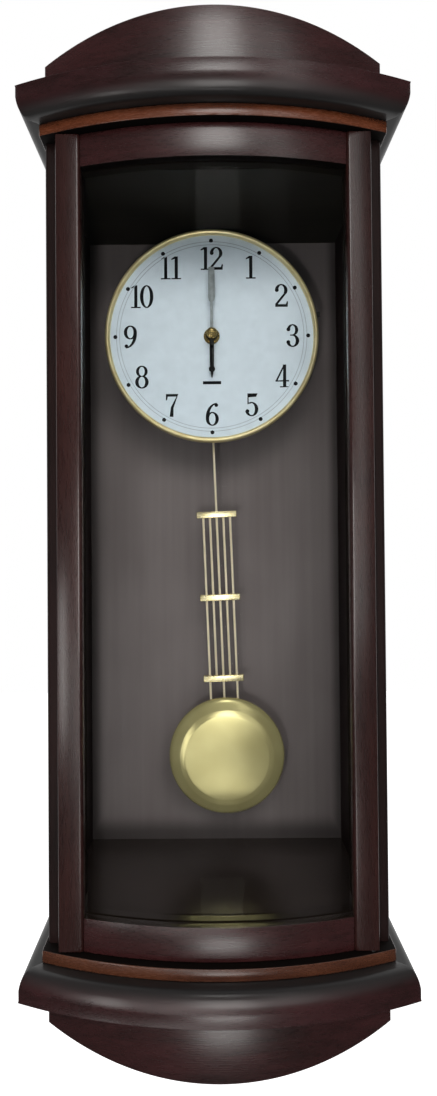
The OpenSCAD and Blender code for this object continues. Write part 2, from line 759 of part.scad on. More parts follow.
module hour_number(h) {
    if (h < 10) translate([-digit_w / 2, -0.5]) digit(h);
    else {
        translate([-(ten_w + digit_w) / 2, -0.5]) digit(1);
        translate([-(ten_w + digit_w) / 2 + ten_w, -0.5]) digit(h - 10);
    }
}
module ink() { color(black) at_dial() sheet(dial_face - ink_t, dial_face) children(); }
track_w = 0.35;
module dial_print() {
    ink() {
        for (h = [1:12]) {
            a = 90 - h * 30;
            r = numeral_r + numeral_spread * abs(cos(a));
            translate([r * cos(a), r * sin(a)]) scale(numeral_h) hour_number(h);
        }
        for (r = [dot_ring_r - 3.4, dot_ring_r - 0.8]) difference() {
            circle(r = r, $fn = 180);
            circle(r = r - track_w, $fn = 180);
        }
        for (h = [1:12]) translate([dot_ring_r * cos(h * 30), dot_ring_r * sin(h * 30)])
            circle(d = dot_d, $fn = 32);
        translate([-7.5, -40.5]) square([15, 2.2]);
    }
}
module dial_nut() {
    color(brass) at_dial() difference() {
        union() {
            rod_y(nut_r + 1.4, dial_face - 0.6, dial_face, 64);
            translate([0, dial_face - 0.6, 0]) rotate([90, 0, 0]) cylinder(r = nut_r, h = 2.2, $fn = 6);
        }
        rod_y(tube_r + slip, dial_face - 4, dial_face + 1);
    }
}

// Gears: straight-sided teeth with plenty of backlash
module gear(n, m, y0, y1, shift = 0) {
    pitch = 360 / n;
    r_tip = m * (n / 2 + 0.85);
    r_root = m * (n / 2 - 1.15);
    r_mid = m * n / 2;
    sheet(y0, y1) {
        circle(r = r_root, $fn = 2 * n);
        for (i = [0:n - 1]) rotate(shift + i * pitch) polygon([
            [r_root - 0.1, -r_root * sin(pitch * 0.27)], [r_mid, -r_mid * sin(pitch * 0.19)],
            [r_tip, -r_tip * sin(pitch * 0.09)], [r_tip, r_tip * sin(pitch * 0.09)],
            [r_mid, r_mid * sin(pitch * 0.19)], [r_root - 0.1, r_root * sin(pitch * 0.27)]]);
    }
}
// The tooth at the top of a centre gear meets the gap at the bottom of the setting gear
module hour_wheel() {
    color(brass) at_dial() difference() {
        union() {
            gear(hour_n, mod_2, hour_layer, hour_layer + wheel_t, 90);
            rod_y(hour_tube_r, hour_tube_end, hour_layer + wheel_t, 64);
        }
        rod_y(arbor_r + run, hour_tube_end - 1, hour_layer + wheel_t + 1, 64);
    }
}
// Each hand is one outline: a hub ring, a blade, and a knob or a tail
module hour_hand() {
    hub = 5;
    body = hour_len * 0.84;
    knob = 2.6;
    knob_z = 1.5 - body;
    color(black) at_dial() sheet(hour_tube_end, hour_hand_y) difference() {
        polygon(concat(arc(0, 0, hub, hub, asin(1.9 / hub) - 90, 270 - asin(1.9 / hub), 40),
            arc(0, knob_z, knob, knob, 180 - acos(1.7 / knob), 180 + acos(1.3 / knob), 12),
            [[-0.3, -hour_len], [0.3, -hour_len]],
            arc(0, knob_z, knob, knob, -acos(1.3 / knob), acos(1.7 / knob), 12)));
        circle(r = hour_tube_r + slip, $fn = 64);
    }
}
module minute_arbor() {
    color(brass) at_dial() {
        gear(cannon_n, mod_1, minute_layer - 0.2, minute_layer + wheel_t + 0.2, 90);
        rod_y(arbor_r, arbor_end, minute_layer, 64);
        rod_y(1, minute_layer, plate_rear - 0.3, 48);
        difference() {
            translate([0, minute_hand_y - hand_t, 0]) rotate([90, 0, 0]) rotate_extrude($fn = 64)
                polygon([[0, 0], [4.6, 0], [4.6, 1.2], [3.9, 2.2], [2.4, 2.9], [0, 3.1]]);
            rod_y(arbor_r + slip, arbor_end - 0.1, minute_hand_y + 1, 64);
        }
    }
}
module minute_hand() {
    hub = 4.2;
    neck = minute_len * 0.47;
    wide = minute_len * 0.55;
    blade = 2.9;
    tip = 2.5;
    color(black) at_dial() sheet(minute_hand_y - hand_t, minute_hand_y) difference() {
        polygon(concat([[1, neck], [2.2, neck + 1.3], [blade, wide], [tip, minute_len - 0.6],
            [tip - 0.6, minute_len], [0.6 - tip, minute_len], [-tip, minute_len - 0.6], [-blade, wide],
            [-2.2, neck + 1.3], [-1, neck]],
            arc(0, 0, hub, hub, 90 + asin(1.25 / hub), 270 - asin(1.25 / hub), 20),
            [[-1.6, -10], [1.6, -10]],
            arc(0, 0, hub, hub, asin(1.25 / hub) - 90, 90 - asin(1.25 / hub), 20)));
        circle(r = arbor_r + slip, $fn = 64);
    }
}
module setting_wheel() {
    color(brass) at_dial() translate([0, 0, set_z]) {
        gear(pinion_n, mod_2, hour_layer - 0.1, hour_layer + wheel_t + 0.2, 90 + 180 / pinion_n);
        gear(minute_n, mod_1, minute_layer, minute_layer + wheel_t, 90 + 180 / minute_n);
        rod_y(1, shell_in - 1, hour_layer, 48);
        rod_y(set_r, hour_layer, -back_recess - 1, 48);
    }
    color(black) at_dial() translate([0, 0, set_z]) difference() {
        rod_y(knob_r, 0.5 + back_front, -back_recess - 0.5, 24 * 2);
        rod_y(set_r + slip, back_front - 1, -back_recess - 0.9, 48);
        for (i = [0:17]) rotate([0, i * 20, 0]) translate([knob_r + 0.3, 0, 0])
            rod_y(0.8, back_front - 1, 1, 16);
    }
}

// Movement housing
module housing_outline(inset) {
    offset_r = 4 - inset / 2;
    w = mov_w / 2 - inset;
    h = mov_h / 2 - inset;
    union() {
        translate([-w + offset_r, -h]) square([2 * (w - offset_r), 2 * h]);
        translate([-w, -h + offset_r]) square([2 * w, 2 * (h - offset_r)]);
        for (x = [-1, 1], z = [-1, 1]) translate([x * (w - offset_r), z * (h - offset_r)])
            circle(r = offset_r, $fn = 48);
    }
}
module boss_axes() {
    for (x = [-1, 1], z = [-1, 1]) translate([x * boss_x, 0, z * boss_z]) children();
}
module board_post_axes() {
    for (x = [4, pcb_w - 4], z = [4, pcb_h - 4]) translate([pcb_x + x, 0, pcb_z - z]) children();
}
module post_axes() {
    for (x = [-1, 1], z = [-1, 1]) translate([x * (boss_x - 9), 0, z * (boss_z - 5)]) children();
}
module movement_shell() {
    color(black) at_dial() difference() {
        union() {
            difference() {
                sheet(dial_rear, back_front) housing_outline(0);
                sheet(shell_in, back_front + 1) housing_outline(mov_wall);
            }
            boss_axes() rod_y(boss_r, shell_in - 1, cover_in, 48);
            post_axes() rod_y(2.5, shell_in - 1, plate_front, 32);
            rod_y(tube_r, tube_end, shell_in, 64);
            box([-neck_half, dial_rear, -neck_end], [neck_half, neck_rear, -mov_h / 2 + 1]);
        }
        rod_y(hour_tube_r + run, tube_end - 1, shell_in + 1, 64);
        translate([0, 0, set_z]) rod_y(1 + run, shell_in - 1.2, shell_in + 1, 48);
        box([mov_wall - neck_half, shell_in, -neck_end - 1],
            [neck_half - mov_wall, neck_rear - mov_wall, -mov_h / 2]);
        box([-12, shell_in + 0.6, -mov_h / 2 - 1], [12, plate_front - 0.2, mov_wall + 1 - mov_h / 2]);
        boss_axes() rod_y(1.6, cover_in - 14, cover_in + 1, 32);
        translate([0, 0, -pivot_drop]) rod_y(pin_r, shell_in - 1.2, neck_rear - 0.8, 48);
        box([mov_w / 2 - mov_wall - 1, lever_y - 0.3, lever_z - lever_travel - lever_h / 2 - 0.5],
            [mov_w / 2 + 1, lever_y + lever_t + 0.3, lever_z + lever_h / 2 + 0.5]);
    }
}
module movement_plate() {
    color(grey) at_dial() difference() {
        union() {
            sheet(plate_front, plate_rear) housing_outline(mov_wall + fit);
            board_post_axes() rod_y(2, plate_rear - 0.5, plate_rear + 3, 32);
        }
        boss_axes() rod_y(boss_r + fit, plate_front - 1, plate_rear + 1, 48);
        rod_y(1 + run, plate_front - 1, plate_rear + 1, 48);
        translate([0, 0, set_z]) rod_y(set_r + run, plate_front - 1, plate_rear + 1, 48);
    }
}
module movement_cover() {
    color(black) at_dial() difference() {
        sheet(cover_in, back_front) housing_outline(mov_wall + fit);
        boss_axes() rod_y(2.2, cover_in - 1, back_front + 1, 32);
        translate([0, 0, set_z]) rod_y(set_r + run, cover_in - 1, back_front + 1, 48);
        translate([volume_x, 0, volume_z]) rod_y(1.5 + run, cover_in - 1, back_front + 1, 48);
        box([-tray_w / 2 + tray_wall, cover_in - 1, cell_z - tray_h / 2 + tray_wall],
            [tray_w / 2 - tray_wall, back_front + 1, cell_z + tray_h / 2 - tray_wall]);
        for (i = [-3:3]) translate([speaker_x + i * 4.2, 0, speaker_z])
            box([-1.1, cover_in - 1, -sqrt(196 - i * i * 14)], [1.1, back_front + 1, sqrt(196 - i * i * 14)]);
    }
}
module movement_screws() {
    color(steel) at_dial() boss_axes() {
        rod_y(1.6 - slip, cover_in - 12, 0.8 - back_recess, 32);
        difference() {
            rod_y(3.6, -back_recess, 2.2 - back_recess, 48);
            box([-2.6, 1.1 - back_recess, -0.45], [2.6, 3 - back_recess, 0.45]);
            box([-0.45, 1.1 - back_recess, -2.6], [0.45, 3 - back_recess, 2.6]);
        }
    }
}

module circuit_board() {
    color([0.10, 0.35, 0.18]) at_dial() difference() {
        box([pcb_x, plate_rear + 3, pcb_z - pcb_h], [pcb_x + pcb_w, plate_rear + 4.2, pcb_z]);
        board_post_axes() rod_y(0.8, plate_rear + 2, plate_rear + 5, 24);
    }
}
module circuit_parts() {
    color(black) at_dial() translate([pcb_x, plate_rear + 4.2, pcb_z]) {
        box([12, 0, -24], [24, 1.8, -12]);
        box([6, 0, -34], [10, 2.4, -26]);
        translate([28, 0, -28]) rod_y(3, 0, 7, 32);
        translate([20, 0, -32]) rod_y(1.6, 0, 5, 24);
    }
}
module speaker() {
    rim = speaker_d / 2;
    color(grey) at_dial() translate([speaker_x, cover_in, speaker_z]) rotate([90, 0, 0])
        rotate_extrude($fn = 96) polygon([[rim - 3, 0], [rim, 0], [rim, 1.5], [rim - 3, 3], [9, 7.5],
            [9, 13], [0, 13], [0, 4], [4, 4.5], [5, 6]]);
}
module battery_tray() {
    color(black) at_dial() difference() {
        box([-tray_w / 2, tray_front, cell_z - tray_h / 2], [tray_w / 2, cover_in, cell_z + tray_h / 2]);
        box([tray_wall - tray_w / 2, tray_front + tray_wall, cell_z - tray_h / 2 + tray_wall],
            [tray_w / 2 - tray_wall, cover_in + 1, cell_z + tray_h / 2 - tray_wall]);
    }
}
module cell_axes() {
    for (s = [-1, 1]) translate([0, cell_y, cell_z + s * (cell_d / 2 + 0.2)]) mirrored_x(s == -1)
        children();
}
module cells() {
    color([0.15, 0.15, 0.16]) at_dial() cell_axes() {
        rod_x(cell_d / 2, -cell_l / 2, cell_l / 2 - 1.2, 64);
        rod_x(2.75, cell_l / 2 - 1.2 - eps, cell_l / 2, 32);
    }
}
module battery_contacts() {
    color(steel) at_dial() cell_axes() {
        box([tray_w / 2 - tray_wall - 0.5, -5, -5], [tray_w / 2 - tray_wall, 5, 5]);
        rod_x(2, cell_l / 2, tray_w / 2 - tray_wall - 0.4, 24);
        box([tray_wall - tray_w / 2, -5, -5], [tray_wall - tray_w / 2 + 0.5, 5, 5]);
        rod_x(3, tray_wall - tray_w / 2 + 0.4, -cell_l / 2, 24);
    }
}
module battery_cover() {
    color(black) at_dial() difference() {
        box([tray_wall + 0.2 - tray_w / 2, cover_in + 0.2, cell_z - tray_h / 2 + tray_wall + 0.2],
            [tray_w / 2 - tray_wall - 0.2, back_front, cell_z + tray_h / 2 - tray_wall - 0.2]);
        for (i = [-2:2]) translate([i * 3, back_front, cell_z]) box([-0.6, -0.6, 8], [0.6, 1, 13]);
    }
}
module volume_pot() {
    color(grey) at_dial() translate([volume_x, 0, volume_z]) difference() {
        box([-5, cover_in - 7, -5], [5, cover_in, 5]);
        rod_y(1.5 + run, cover_in - 6, cover_in + 1, 48);
    }
}
module volume_knob() {
    color(black) at_dial() translate([volume_x, 0, volume_z]) difference() {
        union() {
            rod_y(1.5, cover_in - 5.7, back_front + 1, 48);
            rod_y(5, back_front + 0.5, back_front + 3.5, 48);
        }
        box([-0.5, back_front + 2.7, 1], [0.5, back_front + 4, 6]);
    }
}
module chime_switch() {
    color(grey) at_dial() difference() {
        box([mov_w / 2 - mov_wall - 10, shell_in, lever_z - lever_travel - lever_h / 2 - 2],
            [mov_w / 2 - mov_wall, plate_front, lever_z + lever_h / 2 + 2]);
        box([mov_w / 2 - mov_wall - 8.5, lever_y - 0.2, lever_z - lever_travel - lever_h / 2 - 0.4],
            [mov_w / 2, lever_y + lever_t + 0.2, lever_z + lever_h / 2 + 0.4]);
    }
}
module chime_lever() {
    color(black) at_dial() box([mov_w / 2 - mov_wall - 8, lever_y, lever_z - lever_h / 2],
        [lever_tip, lever_y + lever_t, lever_z + lever_h / 2]);
}
coil_z = magnet_up - pivot_drop;
module drive_coil() {
    color([0.60, 0.33, 0.16]) at_dial() translate([0, 0, coil_z]) {
        difference() {
            rod_y(8, shell_in, shell_in + 0.6, 64);
            rod_y(2.5, shell_in - 1, shell_in + 5, 48);
        }
        difference() {
            rod_y(7, shell_in + 0.6, shell_in + 2.4, 64);
            rod_y(2.5, shell_in - 1, shell_in + 5, 48);
        }
        difference() {
            rod_y(8, shell_in + 2.4, shell_in + 3, 64);
            rod_y(2.5, shell_in - 1, shell_in + 5, 48);
        }
    }
}

// Pendulum, drawn plumb from its pivot and then leant to the side
module pend() {
    at_dial() translate([0, pend_y, -pivot_drop]) rotate([0, -lean, 0]) children();
}
module pendulum_pin() {
    color(steel) at_dial() translate([0, 0, -pivot_drop])
        rod_y(pin_r - slip, shell_in - 1, neck_rear - 1, 48);
}
module hanger() {
    color(grey) pend() difference() {
        union() {
            rod_y(3.2, -arm_t / 2, arm_t / 2, 48);
            box([-1.8, -arm_t / 2, 0], [1.8, arm_t / 2, magnet_up - 2.6]);
            translate([0, 0, magnet_up]) rod_y(3.6, -arm_t / 2, arm_t / 2, 48);
            box([-2.2, -0.75, -13.5], [2.2, 0.75, -2]);
        }
        rod_y(pin_r + run, -5, 5, 48);
        translate([0, 0, magnet_up]) rod_y(2.5, -5, 5, 48);
        translate([0, 0, tongue_z]) rod_y(0.8, -5, 5, 32);
    }
    color(steel) pend() translate([0, 0, magnet_up]) rod_y(2.5 - slip, 0.1 - arm_t / 2, arm_t / 2 - 0.1, 48);
    color(brass) pend() {
        difference() {
            box([-4, -3, block_end], [4, 3, block_top]);
            box([-5, -0.75 - fit, -13.6], [5, 0.75 + fit, 0]);
            translate([0, 0, tongue_z]) rod_y(0.8, -5, 5, 32);
            rod_z(rod_d / 2 + slip, block_end - 1, -14.5);
        }
        translate([0, 0, tongue_z]) rod_y(0.8 - slip, -3, 3, 32);
    }
}
rod_bottom = -(bob_drop + 6);
module lyre_rods() {
    color(brass) pend() {
        rod_z(rod_d / 2, rod_bottom, -14.6, 32);
        for (s = [-1, 1]) {
            translate([s * 2 * rod_gap, 0, 0]) rod_z(rod_d / 2, rod_bottom, bar_h / 2 - 0.6 - bar_1, 32);
            translate([s * rod_gap, 0, 0])
                rod_z(rod_d / 2, 0.6 - bar_h / 2 - bar_3, bar_h / 2 - 0.6 - bar_1, 32);
        }
    }
}
module rod_holes(z, from, to) {
    for (i = [-2:2]) translate([i * rod_gap, 0, z]) rod_z(rod_d / 2 + slip, from, to, 32);
}
module lyre_bar(z) {
    e = 0.8;
    translate([0, 0, z]) sheet(-bar_t / 2, bar_t / 2) polygon([
        [-bar_l / 2, -bar_h / 2 + e], [-bar_l / 2 + e, -bar_h / 2], [bar_l / 2 - e, -bar_h / 2],
        [bar_l / 2, -bar_h / 2 + e], [bar_l / 2, bar_h / 2 - e], [bar_l / 2 - e, bar_h / 2],
        [-bar_l / 2 + e, bar_h / 2], [-bar_l / 2, bar_h / 2 - e]]);
}
module lyre_bars() {
    color(brass) pend() {
        difference() {
            lyre_bar(-bar_1);
            rod_holes(-bar_1, -bar_h, bar_h / 2 - 0.6);
            rod_z(rod_d / 2 + slip, -bar_1, bar_h - bar_1, 32);
        }
        difference() {
            lyre_bar(-bar_2);
            rod_holes(-bar_2, -bar_h, bar_h);
        }
        difference() {
            lyre_bar(-bar_3);
            rod_holes(-bar_3, 0.6 - bar_h / 2, bar_h);
            for (i = [-2, 0, 2]) translate([i * rod_gap, 0, -bar_3]) rod_z(rod_d / 2 + slip, -bar_h, 0, 32);
        }
    }
}

// Bob: a thin domed shell with a rim, a back plate and a clamp bar that holds three rods
shell_wall = 0.8;
bob_rim = 1.6;
bob_back = -rod_d / 2 - 0.15;
plate_w = 0.9;
function dome(r, h) = [for (i = [0:18]) [r * sin(5 * i), h * pow(cos(5 * i), 0.8)]];
module bob() {
    color(brass) pend() translate([0, 0, -bob_drop]) {
        translate([0, bob_back - plate_w - slip, 0]) rotate([90, 0, 0]) rotate_extrude($fn = 144)
            polygon(concat(dome(bob_r - bob_rim, bob_dome + shell_wall), [[bob_r, 0.3], [bob_r, 0]],
                back(dome(bob_r - bob_rim - shell_wall, bob_dome))));
        translate([0, bob_back, 0]) rotate([90, 0, 0]) cylinder(r = bob_r - 0.4, h = plate_w, $fn = 144);
        difference() {
            box([-bar_l / 2, bob_back, -4], [bar_l / 2, rod_d / 2 + 2, 4]);
            for (i = [-2, 0, 2]) translate([i * rod_gap, 0, 0]) rod_z(rod_d / 2 + slip, -5, 5, 32);
        }
    }
}

side_panel_left();
side_panel_right();
top_board();
bottom_board();
back_board();
upper_belt();
lower_belt();
upper_cornice_front();
lower_cornice_front();
cornice_returns();
arched_pediment();
arched_apron();
glue_blocks();
case_dowels();
case_screws();
cleats();
keyhole_plate();
keyhole_screws();
felt_pads();
magnet_catch();
door_stile_left();
door_stile_right();
door_rail_top();
door_rail_bottom();
door_glass();
glass_beads();
door_dowels();
pivot_bushes();
strike_plate();
pivot_pins();
dial_plate();
bezel();
dial_print();
dial_nut();
movement_shell();
movement_plate();
movement_cover();
movement_screws();
circuit_board();
circuit_parts();
speaker();
battery_tray();
cells();
battery_contacts();
battery_cover();
volume_pot();
volume_knob();
chime_switch();
chime_lever();
drive_coil();
setting_wheel();
hour_wheel();
hour_hand();
minute_arbor();
minute_hand();
pendulum_pin();
hanger();
lyre_rods();
lyre_bars();
bob();
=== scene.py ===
# %% [markdown]
# # A bow-fronted chiming wall clock, dressed for its portrait
# The imported CAD model is the frame: every board, pin and wheel is already in its place, in metres, with the
# wall at y = 0 and the front towards -Y. Here the pieces that the eye lands on are modelled again with soft
# edges and true curves, and every surface gets the finish that the real clock has.

# %% Load the frame
import math
import bpy
import bmesh
from mathutils import Matrix, Vector


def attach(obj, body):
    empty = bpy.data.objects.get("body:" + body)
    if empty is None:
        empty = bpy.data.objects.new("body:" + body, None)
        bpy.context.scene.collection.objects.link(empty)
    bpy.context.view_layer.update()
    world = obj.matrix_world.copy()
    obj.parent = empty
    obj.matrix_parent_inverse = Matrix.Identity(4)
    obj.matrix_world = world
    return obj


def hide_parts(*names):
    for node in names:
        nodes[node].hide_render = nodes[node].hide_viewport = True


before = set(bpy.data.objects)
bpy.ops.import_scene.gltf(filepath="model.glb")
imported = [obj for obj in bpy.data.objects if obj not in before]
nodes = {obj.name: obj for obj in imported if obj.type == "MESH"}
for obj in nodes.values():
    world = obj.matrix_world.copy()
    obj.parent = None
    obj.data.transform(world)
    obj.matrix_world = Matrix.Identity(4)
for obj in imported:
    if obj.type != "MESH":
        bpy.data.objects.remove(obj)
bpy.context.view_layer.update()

# %% [markdown]
# Lengths are easier to think about in millimetres, and heights from the middle of the case. Two helpers turn
# them into Blender's metres. The whole front is bent round one upright axis behind the clock, so that axis
# and the sizes that several pieces share are named once, here.

# %% Sizes that several pieces share
HANG = 262               # the keyhole, which is the origin, lies this far above the middle of the case


def mm(value):
    return value / 1000


def at(x, y, z):
    """A point in millimetres from the middle of the case, as Blender wants it."""
    return Vector((mm(x), mm(y), mm(z - HANG)))


BOW_RADIUS = 395         # front of the door's rails, about the bow's axis
STILE_IN = 94.5          # half the opening between the door's stiles
STILE_FACE = -142        # front of the stiles; the rails meet them 1 mm further back
BOW_Y = STILE_FACE + 1 + math.sqrt(BOW_RADIUS ** 2 - STILE_IN ** 2)
BELT_TOP = 297.5         # top of the upper belt board, on which the crown moulding stands
DIAL = (-1.5, 171.5)     # centre of the dial, across and up
print("bow axis at y =", round(BOW_Y, 2), "mm")

# %% [markdown]
# ## Finishes
# Colours are written as the hex values that a paint chart gives, and one function turns them into the linear
# light that Blender computes with. A second small function adds a node with its settings and its links, and
# every finish below is built with just these two.

# %% Colour helper
def tone(code):
    """Linear light of an sRGB hex colour."""
    channels = [int(code[i:i + 2], 16) / 255 for i in (1, 3, 5)]
    return tuple(c / 12.92 if c <= 0.04045 else ((c + 0.055) / 1.055) ** 2.4 for c in channels) + (1,)


print("#808080 is", round(tone("#808080")[0], 3), "of full light")

# %% Node helper
def put(tree, kind, sockets=None, stops=(), **settings):
    """Adds a shader node. A node given for a socket is linked by its first output; stops colour a ramp."""
    node = tree.nodes.new("ShaderNode" + kind)
    for key, value in settings.items():
        setattr(node, key, value)
    for key, value in (sockets or {}).items():
        if isinstance(value, bpy.types.Node):
            value = value.outputs[0]
        if isinstance(value, bpy.types.NodeSocket):
            tree.links.new(value, node.inputs[key])
        else:
            node.inputs[key].default_value = value
    for place, (position, code) in enumerate(stops):
        node.color_ramp.elements[place].position = position
        node.color_ramp.elements[place].color = tone(code)
    return node


def blank(name):
    """A material with an empty node tree, and the tree."""
    material = bpy.data.materials.new(name)
    material.use_nodes = True
    material.node_tree.nodes.clear()
    return material, material.node_tree


def shown(material, tree, shader):
    """Ends the material with the shader, as its surface."""
    put(tree, "OutputMaterial", {"Surface": shader})
    return material


# %% [markdown]
# ### Stained hardwood
# The case is a close-grained hardwood, probably rubberwood or birch, stained espresso and sprayed with satin
# nitrocellulose lacquer. The stain hides most of the figure, so the grain is a faint streak a few
# millimetres across and up to 20 cm long, with pores of about half a millimetre that the lacquer does not
# quite fill; they are drawn at 0.9 mm so that they show. A photograph of wood could be wrapped round each
# board, but noise stretched along the board needs no picture and has no seams. The streaks run along each
# board, so every board direction has its own copy of the finish.

# %% Streaks along a board
ACROSS, DEEP, TALL = 0, 1, 2


def streaks(tree, where, along, *patterns):
    """One noise for each pattern of (width in mm, length in mm, noise sockets), stretched along one axis."""
    noises = []
    for wide, long, sockets in patterns:
        scale = [1 / mm(wide)] * 3
        scale[along] = 1 / mm(long)
        place = put(tree, "Mapping", {"Vector": where, "Scale": scale})
        noises.append(put(tree, "TexNoise", {"Vector": place, "Scale": 1.0, **sockets}))
    return noises


# %% [markdown]
# In the narrow groove under a moulding, its quirk, the belt board casts shade, so a finish may be darkened
# between two heights as painted shade, and dulled there. A ledge may be polished below one height and matt
# above it, where it lies in the shade of the rail.

# %% A finish for stained boards
def stained(name, dark, light, along, rough=0.27, coat=0.5, shine=0.75, pore=0.05, figure_mm=5.0,
            long_mm=160.0, quirk_shade_mm=None, glossy_below=None):
    material, tree = blank(name)
    where = put(tree, "TexCoord").outputs["Object"]
    figure, grain, blotch = streaks(
        tree, where, along, (figure_mm, long_mm, {"Detail": 5.0, "Roughness": 0.62, "Distortion": 0.35}),
        (0.9, 14, {"Detail": 2.0}), (30, 85, {"Detail": 3.0}))
    lines = put(tree, "Mix", {0: 0.35, 2: figure, 3: grain}, data_type="FLOAT")
    mixed = put(tree, "Mix", {0: 0.45, 2: lines, 3: blotch}, data_type="FLOAT")
    colour = put(tree, "ValToRGB", {0: mixed}, stops=((0.36, dark), (0.64, light)))
    gloss = put(tree, "MapRange", {0: grain, 3: rough - 0.04, 4: rough + 0.06})
    relief = put(tree, "Bump", {"Height": grain, "Strength": pore, "Distance": mm(0.12)})
    parts = put(tree, "SeparateXYZ", {0: where})
    if quirk_shade_mm:
        height = put(tree, "Math", {0: parts.outputs["Z"], 1: mm(HANG)}, operation="ADD")
        away = put(tree, "Math", {0: height}, operation="ABSOLUTE")
        deep = put(tree, "MapRange", {0: away, 1: mm(quirk_shade_mm[0]), 2: mm(quirk_shade_mm[1]), 3: 1.0, 4: 0.0},
                   interpolation_type="SMOOTHSTEP")
        # painted shade: near-black mixed into the colour next to the belt board, and the gloss dulled there
        quirk_shaded = put(tree, "Mix", {0: deep, 6: colour, 7: tone("#070404")}, data_type="RGBA")
        colour = quirk_shaded.outputs[2]
        gloss = put(tree, "Math", {0: deep, 1: 0.4, 2: gloss}, operation="MULTIPLY_ADD")
    if glossy_below is not None:
        matt, faint = 0.7, 0.1
        foot = put(tree, "Math", {0: parts.outputs["Z"], 1: mm(glossy_below - HANG)}, operation="LESS_THAN")
        gloss = put(tree, "Math", {0: foot, 1: rough - matt, 2: matt}, operation="MULTIPLY_ADD")
        coat = put(tree, "Math", {0: foot, 1: coat}, operation="MULTIPLY")
        shine = put(tree, "Math", {0: foot, 1: shine - faint, 2: faint}, operation="MULTIPLY_ADD")
    wood = put(tree, "BsdfPrincipled", {
        "Base Color": colour, "Roughness": gloss, "Normal": relief, "IOR": 1.5,
        "Specular IOR Level": shine, "Coat Weight": coat, "Coat Roughness": 0.2, "Coat IOR": 1.5})
    return shown(material, tree, wood)


# %% The case's own stains
# painted shade under the belt boards: full at the belt's top, gone 10 mm beyond it
QUIRK_SHADE = (BELT_TOP, BELT_TOP + 10)
espresso_tall = stained("espresso stained hardwood, upright grain", "#1d0c0b", "#311714", TALL)
# the side panels show only their front edges, set back beside the door; they are darkened as painted shade
side_panel_shaded = stained("espresso stained side panel, darkened as painted shade", "#120908", "#1e100f", TALL, rough=0.5, coat=0.0,
                        shine=0.2)
espresso_wide = stained("espresso stained hardwood, level grain", "#1c0b0a", "#38191a", ACROSS)
espresso_deep = stained("espresso stained hardwood, grain front to back", "#1d0d0b", "#301715", DEEP,
                        quirk_shade_mm=QUIRK_SHADE)
cornice_wood = stained("espresso stained moulding, painted shade in its quirk", "#1c0b0a", "#34181a", ACROSS,
                       quirk_shade_mm=QUIRK_SHADE)
belt_finish = stained("reddish stained belt board", "#45200f", "#69371f", ACROSS, rough=0.26)
# the lower belt board is the same wood as the upper one; its colours are darkened as painted shade
lower_belt_shaded = stained("reddish belt board, darkened as painted shade", "#361a10", "#54301f", ACROSS, rough=0.26)
# near-black painted shade for faces that lie in shade: the belts' level faces and the upper inner ledge
shadow_finish = stained("near-black painted shade, unpolished", "#070403", "#0d0807", ACROSS, rough=0.7, coat=0.0,
                        shine=0.1)
board_finish = stained("black brown lacquered board", "#231d1a", "#302825", ACROSS, rough=0.22)
ceiling_finish = stained("black brown matt board", "#1d1b17", "#272420", ACROSS, rough=0.6, coat=0.0,
                         shine=0.2)
ledge_finish = stained("thick lacquer on the lower ledge", "#120d0a", "#1a140f", ACROSS, rough=0.14, coat=1.0,
                       glossy_below=-255)
print("materials after the stains:", len(bpy.data.materials))

# %% [markdown]
# The back board is a thin veneered panel, stained a lighter brown than the case. Its sides and foot are
# painted darker, as painted shade where the side panels and the bottom board shade it. The painted shade
# depends only on the place on the board, so it stays there from every side.

# %% The back board's finish
PAINTED_SHADE_SIDE = (102, 113)     # the shading begins and is full this far from the middle
PAINTED_SHADE_FOOT = (248, 268)     # and this far below it


def back_panel():
    material, tree = blank("brown stained back panel, painted shade at sides and foot")
    where = put(tree, "TexCoord").outputs["Object"]
    figure, cloud = streaks(tree, where, TALL, (7, 240, {"Detail": 5.0}), (70, 120, {"Detail": 2.0}))
    mixed = put(tree, "Mix", {0: 0.65, 2: figure, 3: cloud}, data_type="FLOAT")
    stain = put(tree, "ValToRGB", {0: mixed}, stops=((0.36, "#605857"), (0.64, "#6e6665")))
    parts = put(tree, "SeparateXYZ", {0: where})
    sideways = put(tree, "Math", {0: parts.outputs["X"]}, operation="ABSOLUTE")
    height = put(tree, "Math", {0: parts.outputs["Z"], 1: mm(HANG)}, operation="ADD")
    below = put(tree, "Math", {0: height, 1: -1.0}, operation="MULTIPLY")
    side, foot = [put(tree, "MapRange", {0: far, 1: mm(begins), 2: mm(full)}, interpolation_type="SMOOTHSTEP")
                  for far, (begins, full) in ((sideways, PAINTED_SHADE_SIDE), (below, PAINTED_SHADE_FOOT))]
    edge = put(tree, "Math", {0: side, 1: foot}, operation="MAXIMUM")
    shade_share = put(tree, "Math", {0: edge, 1: 0.75}, operation="MULTIPLY")
    # painted shade: dark brown mixed in, up to three quarters, at the sides and the foot
    colour = put(tree, "Mix", {0: shade_share, 6: stain, 7: tone("#1f1b1a")}, data_type="RGBA")
    panel = put(tree, "BsdfPrincipled", {"Base Color": colour.outputs[2], "Roughness": 0.55,
                                         "Specular IOR Level": 0.3})
    return shown(material, tree, panel)


panel_finish = back_panel()
print("shaded from", PAINTED_SHADE_SIDE[0], "mm sideways and", PAINTED_SHADE_FOOT[0], "mm down")

# %% [markdown]
# ### Raw wood, felt, plastic and board
# Behind the clock the cleats and glue blocks are plain softwood, cut and glued. The pads are pressed wool
# felt. The movement's housing is moulded ABS with a spark-eroded skin: tiny bumps about 0.3 mm apart that
# spread every highlight. Here they are drawn at 0.6 mm so that they show at all. One noise gives such a skin
# its colour, gloss and relief together, because on the real thing all three come from the same grit.

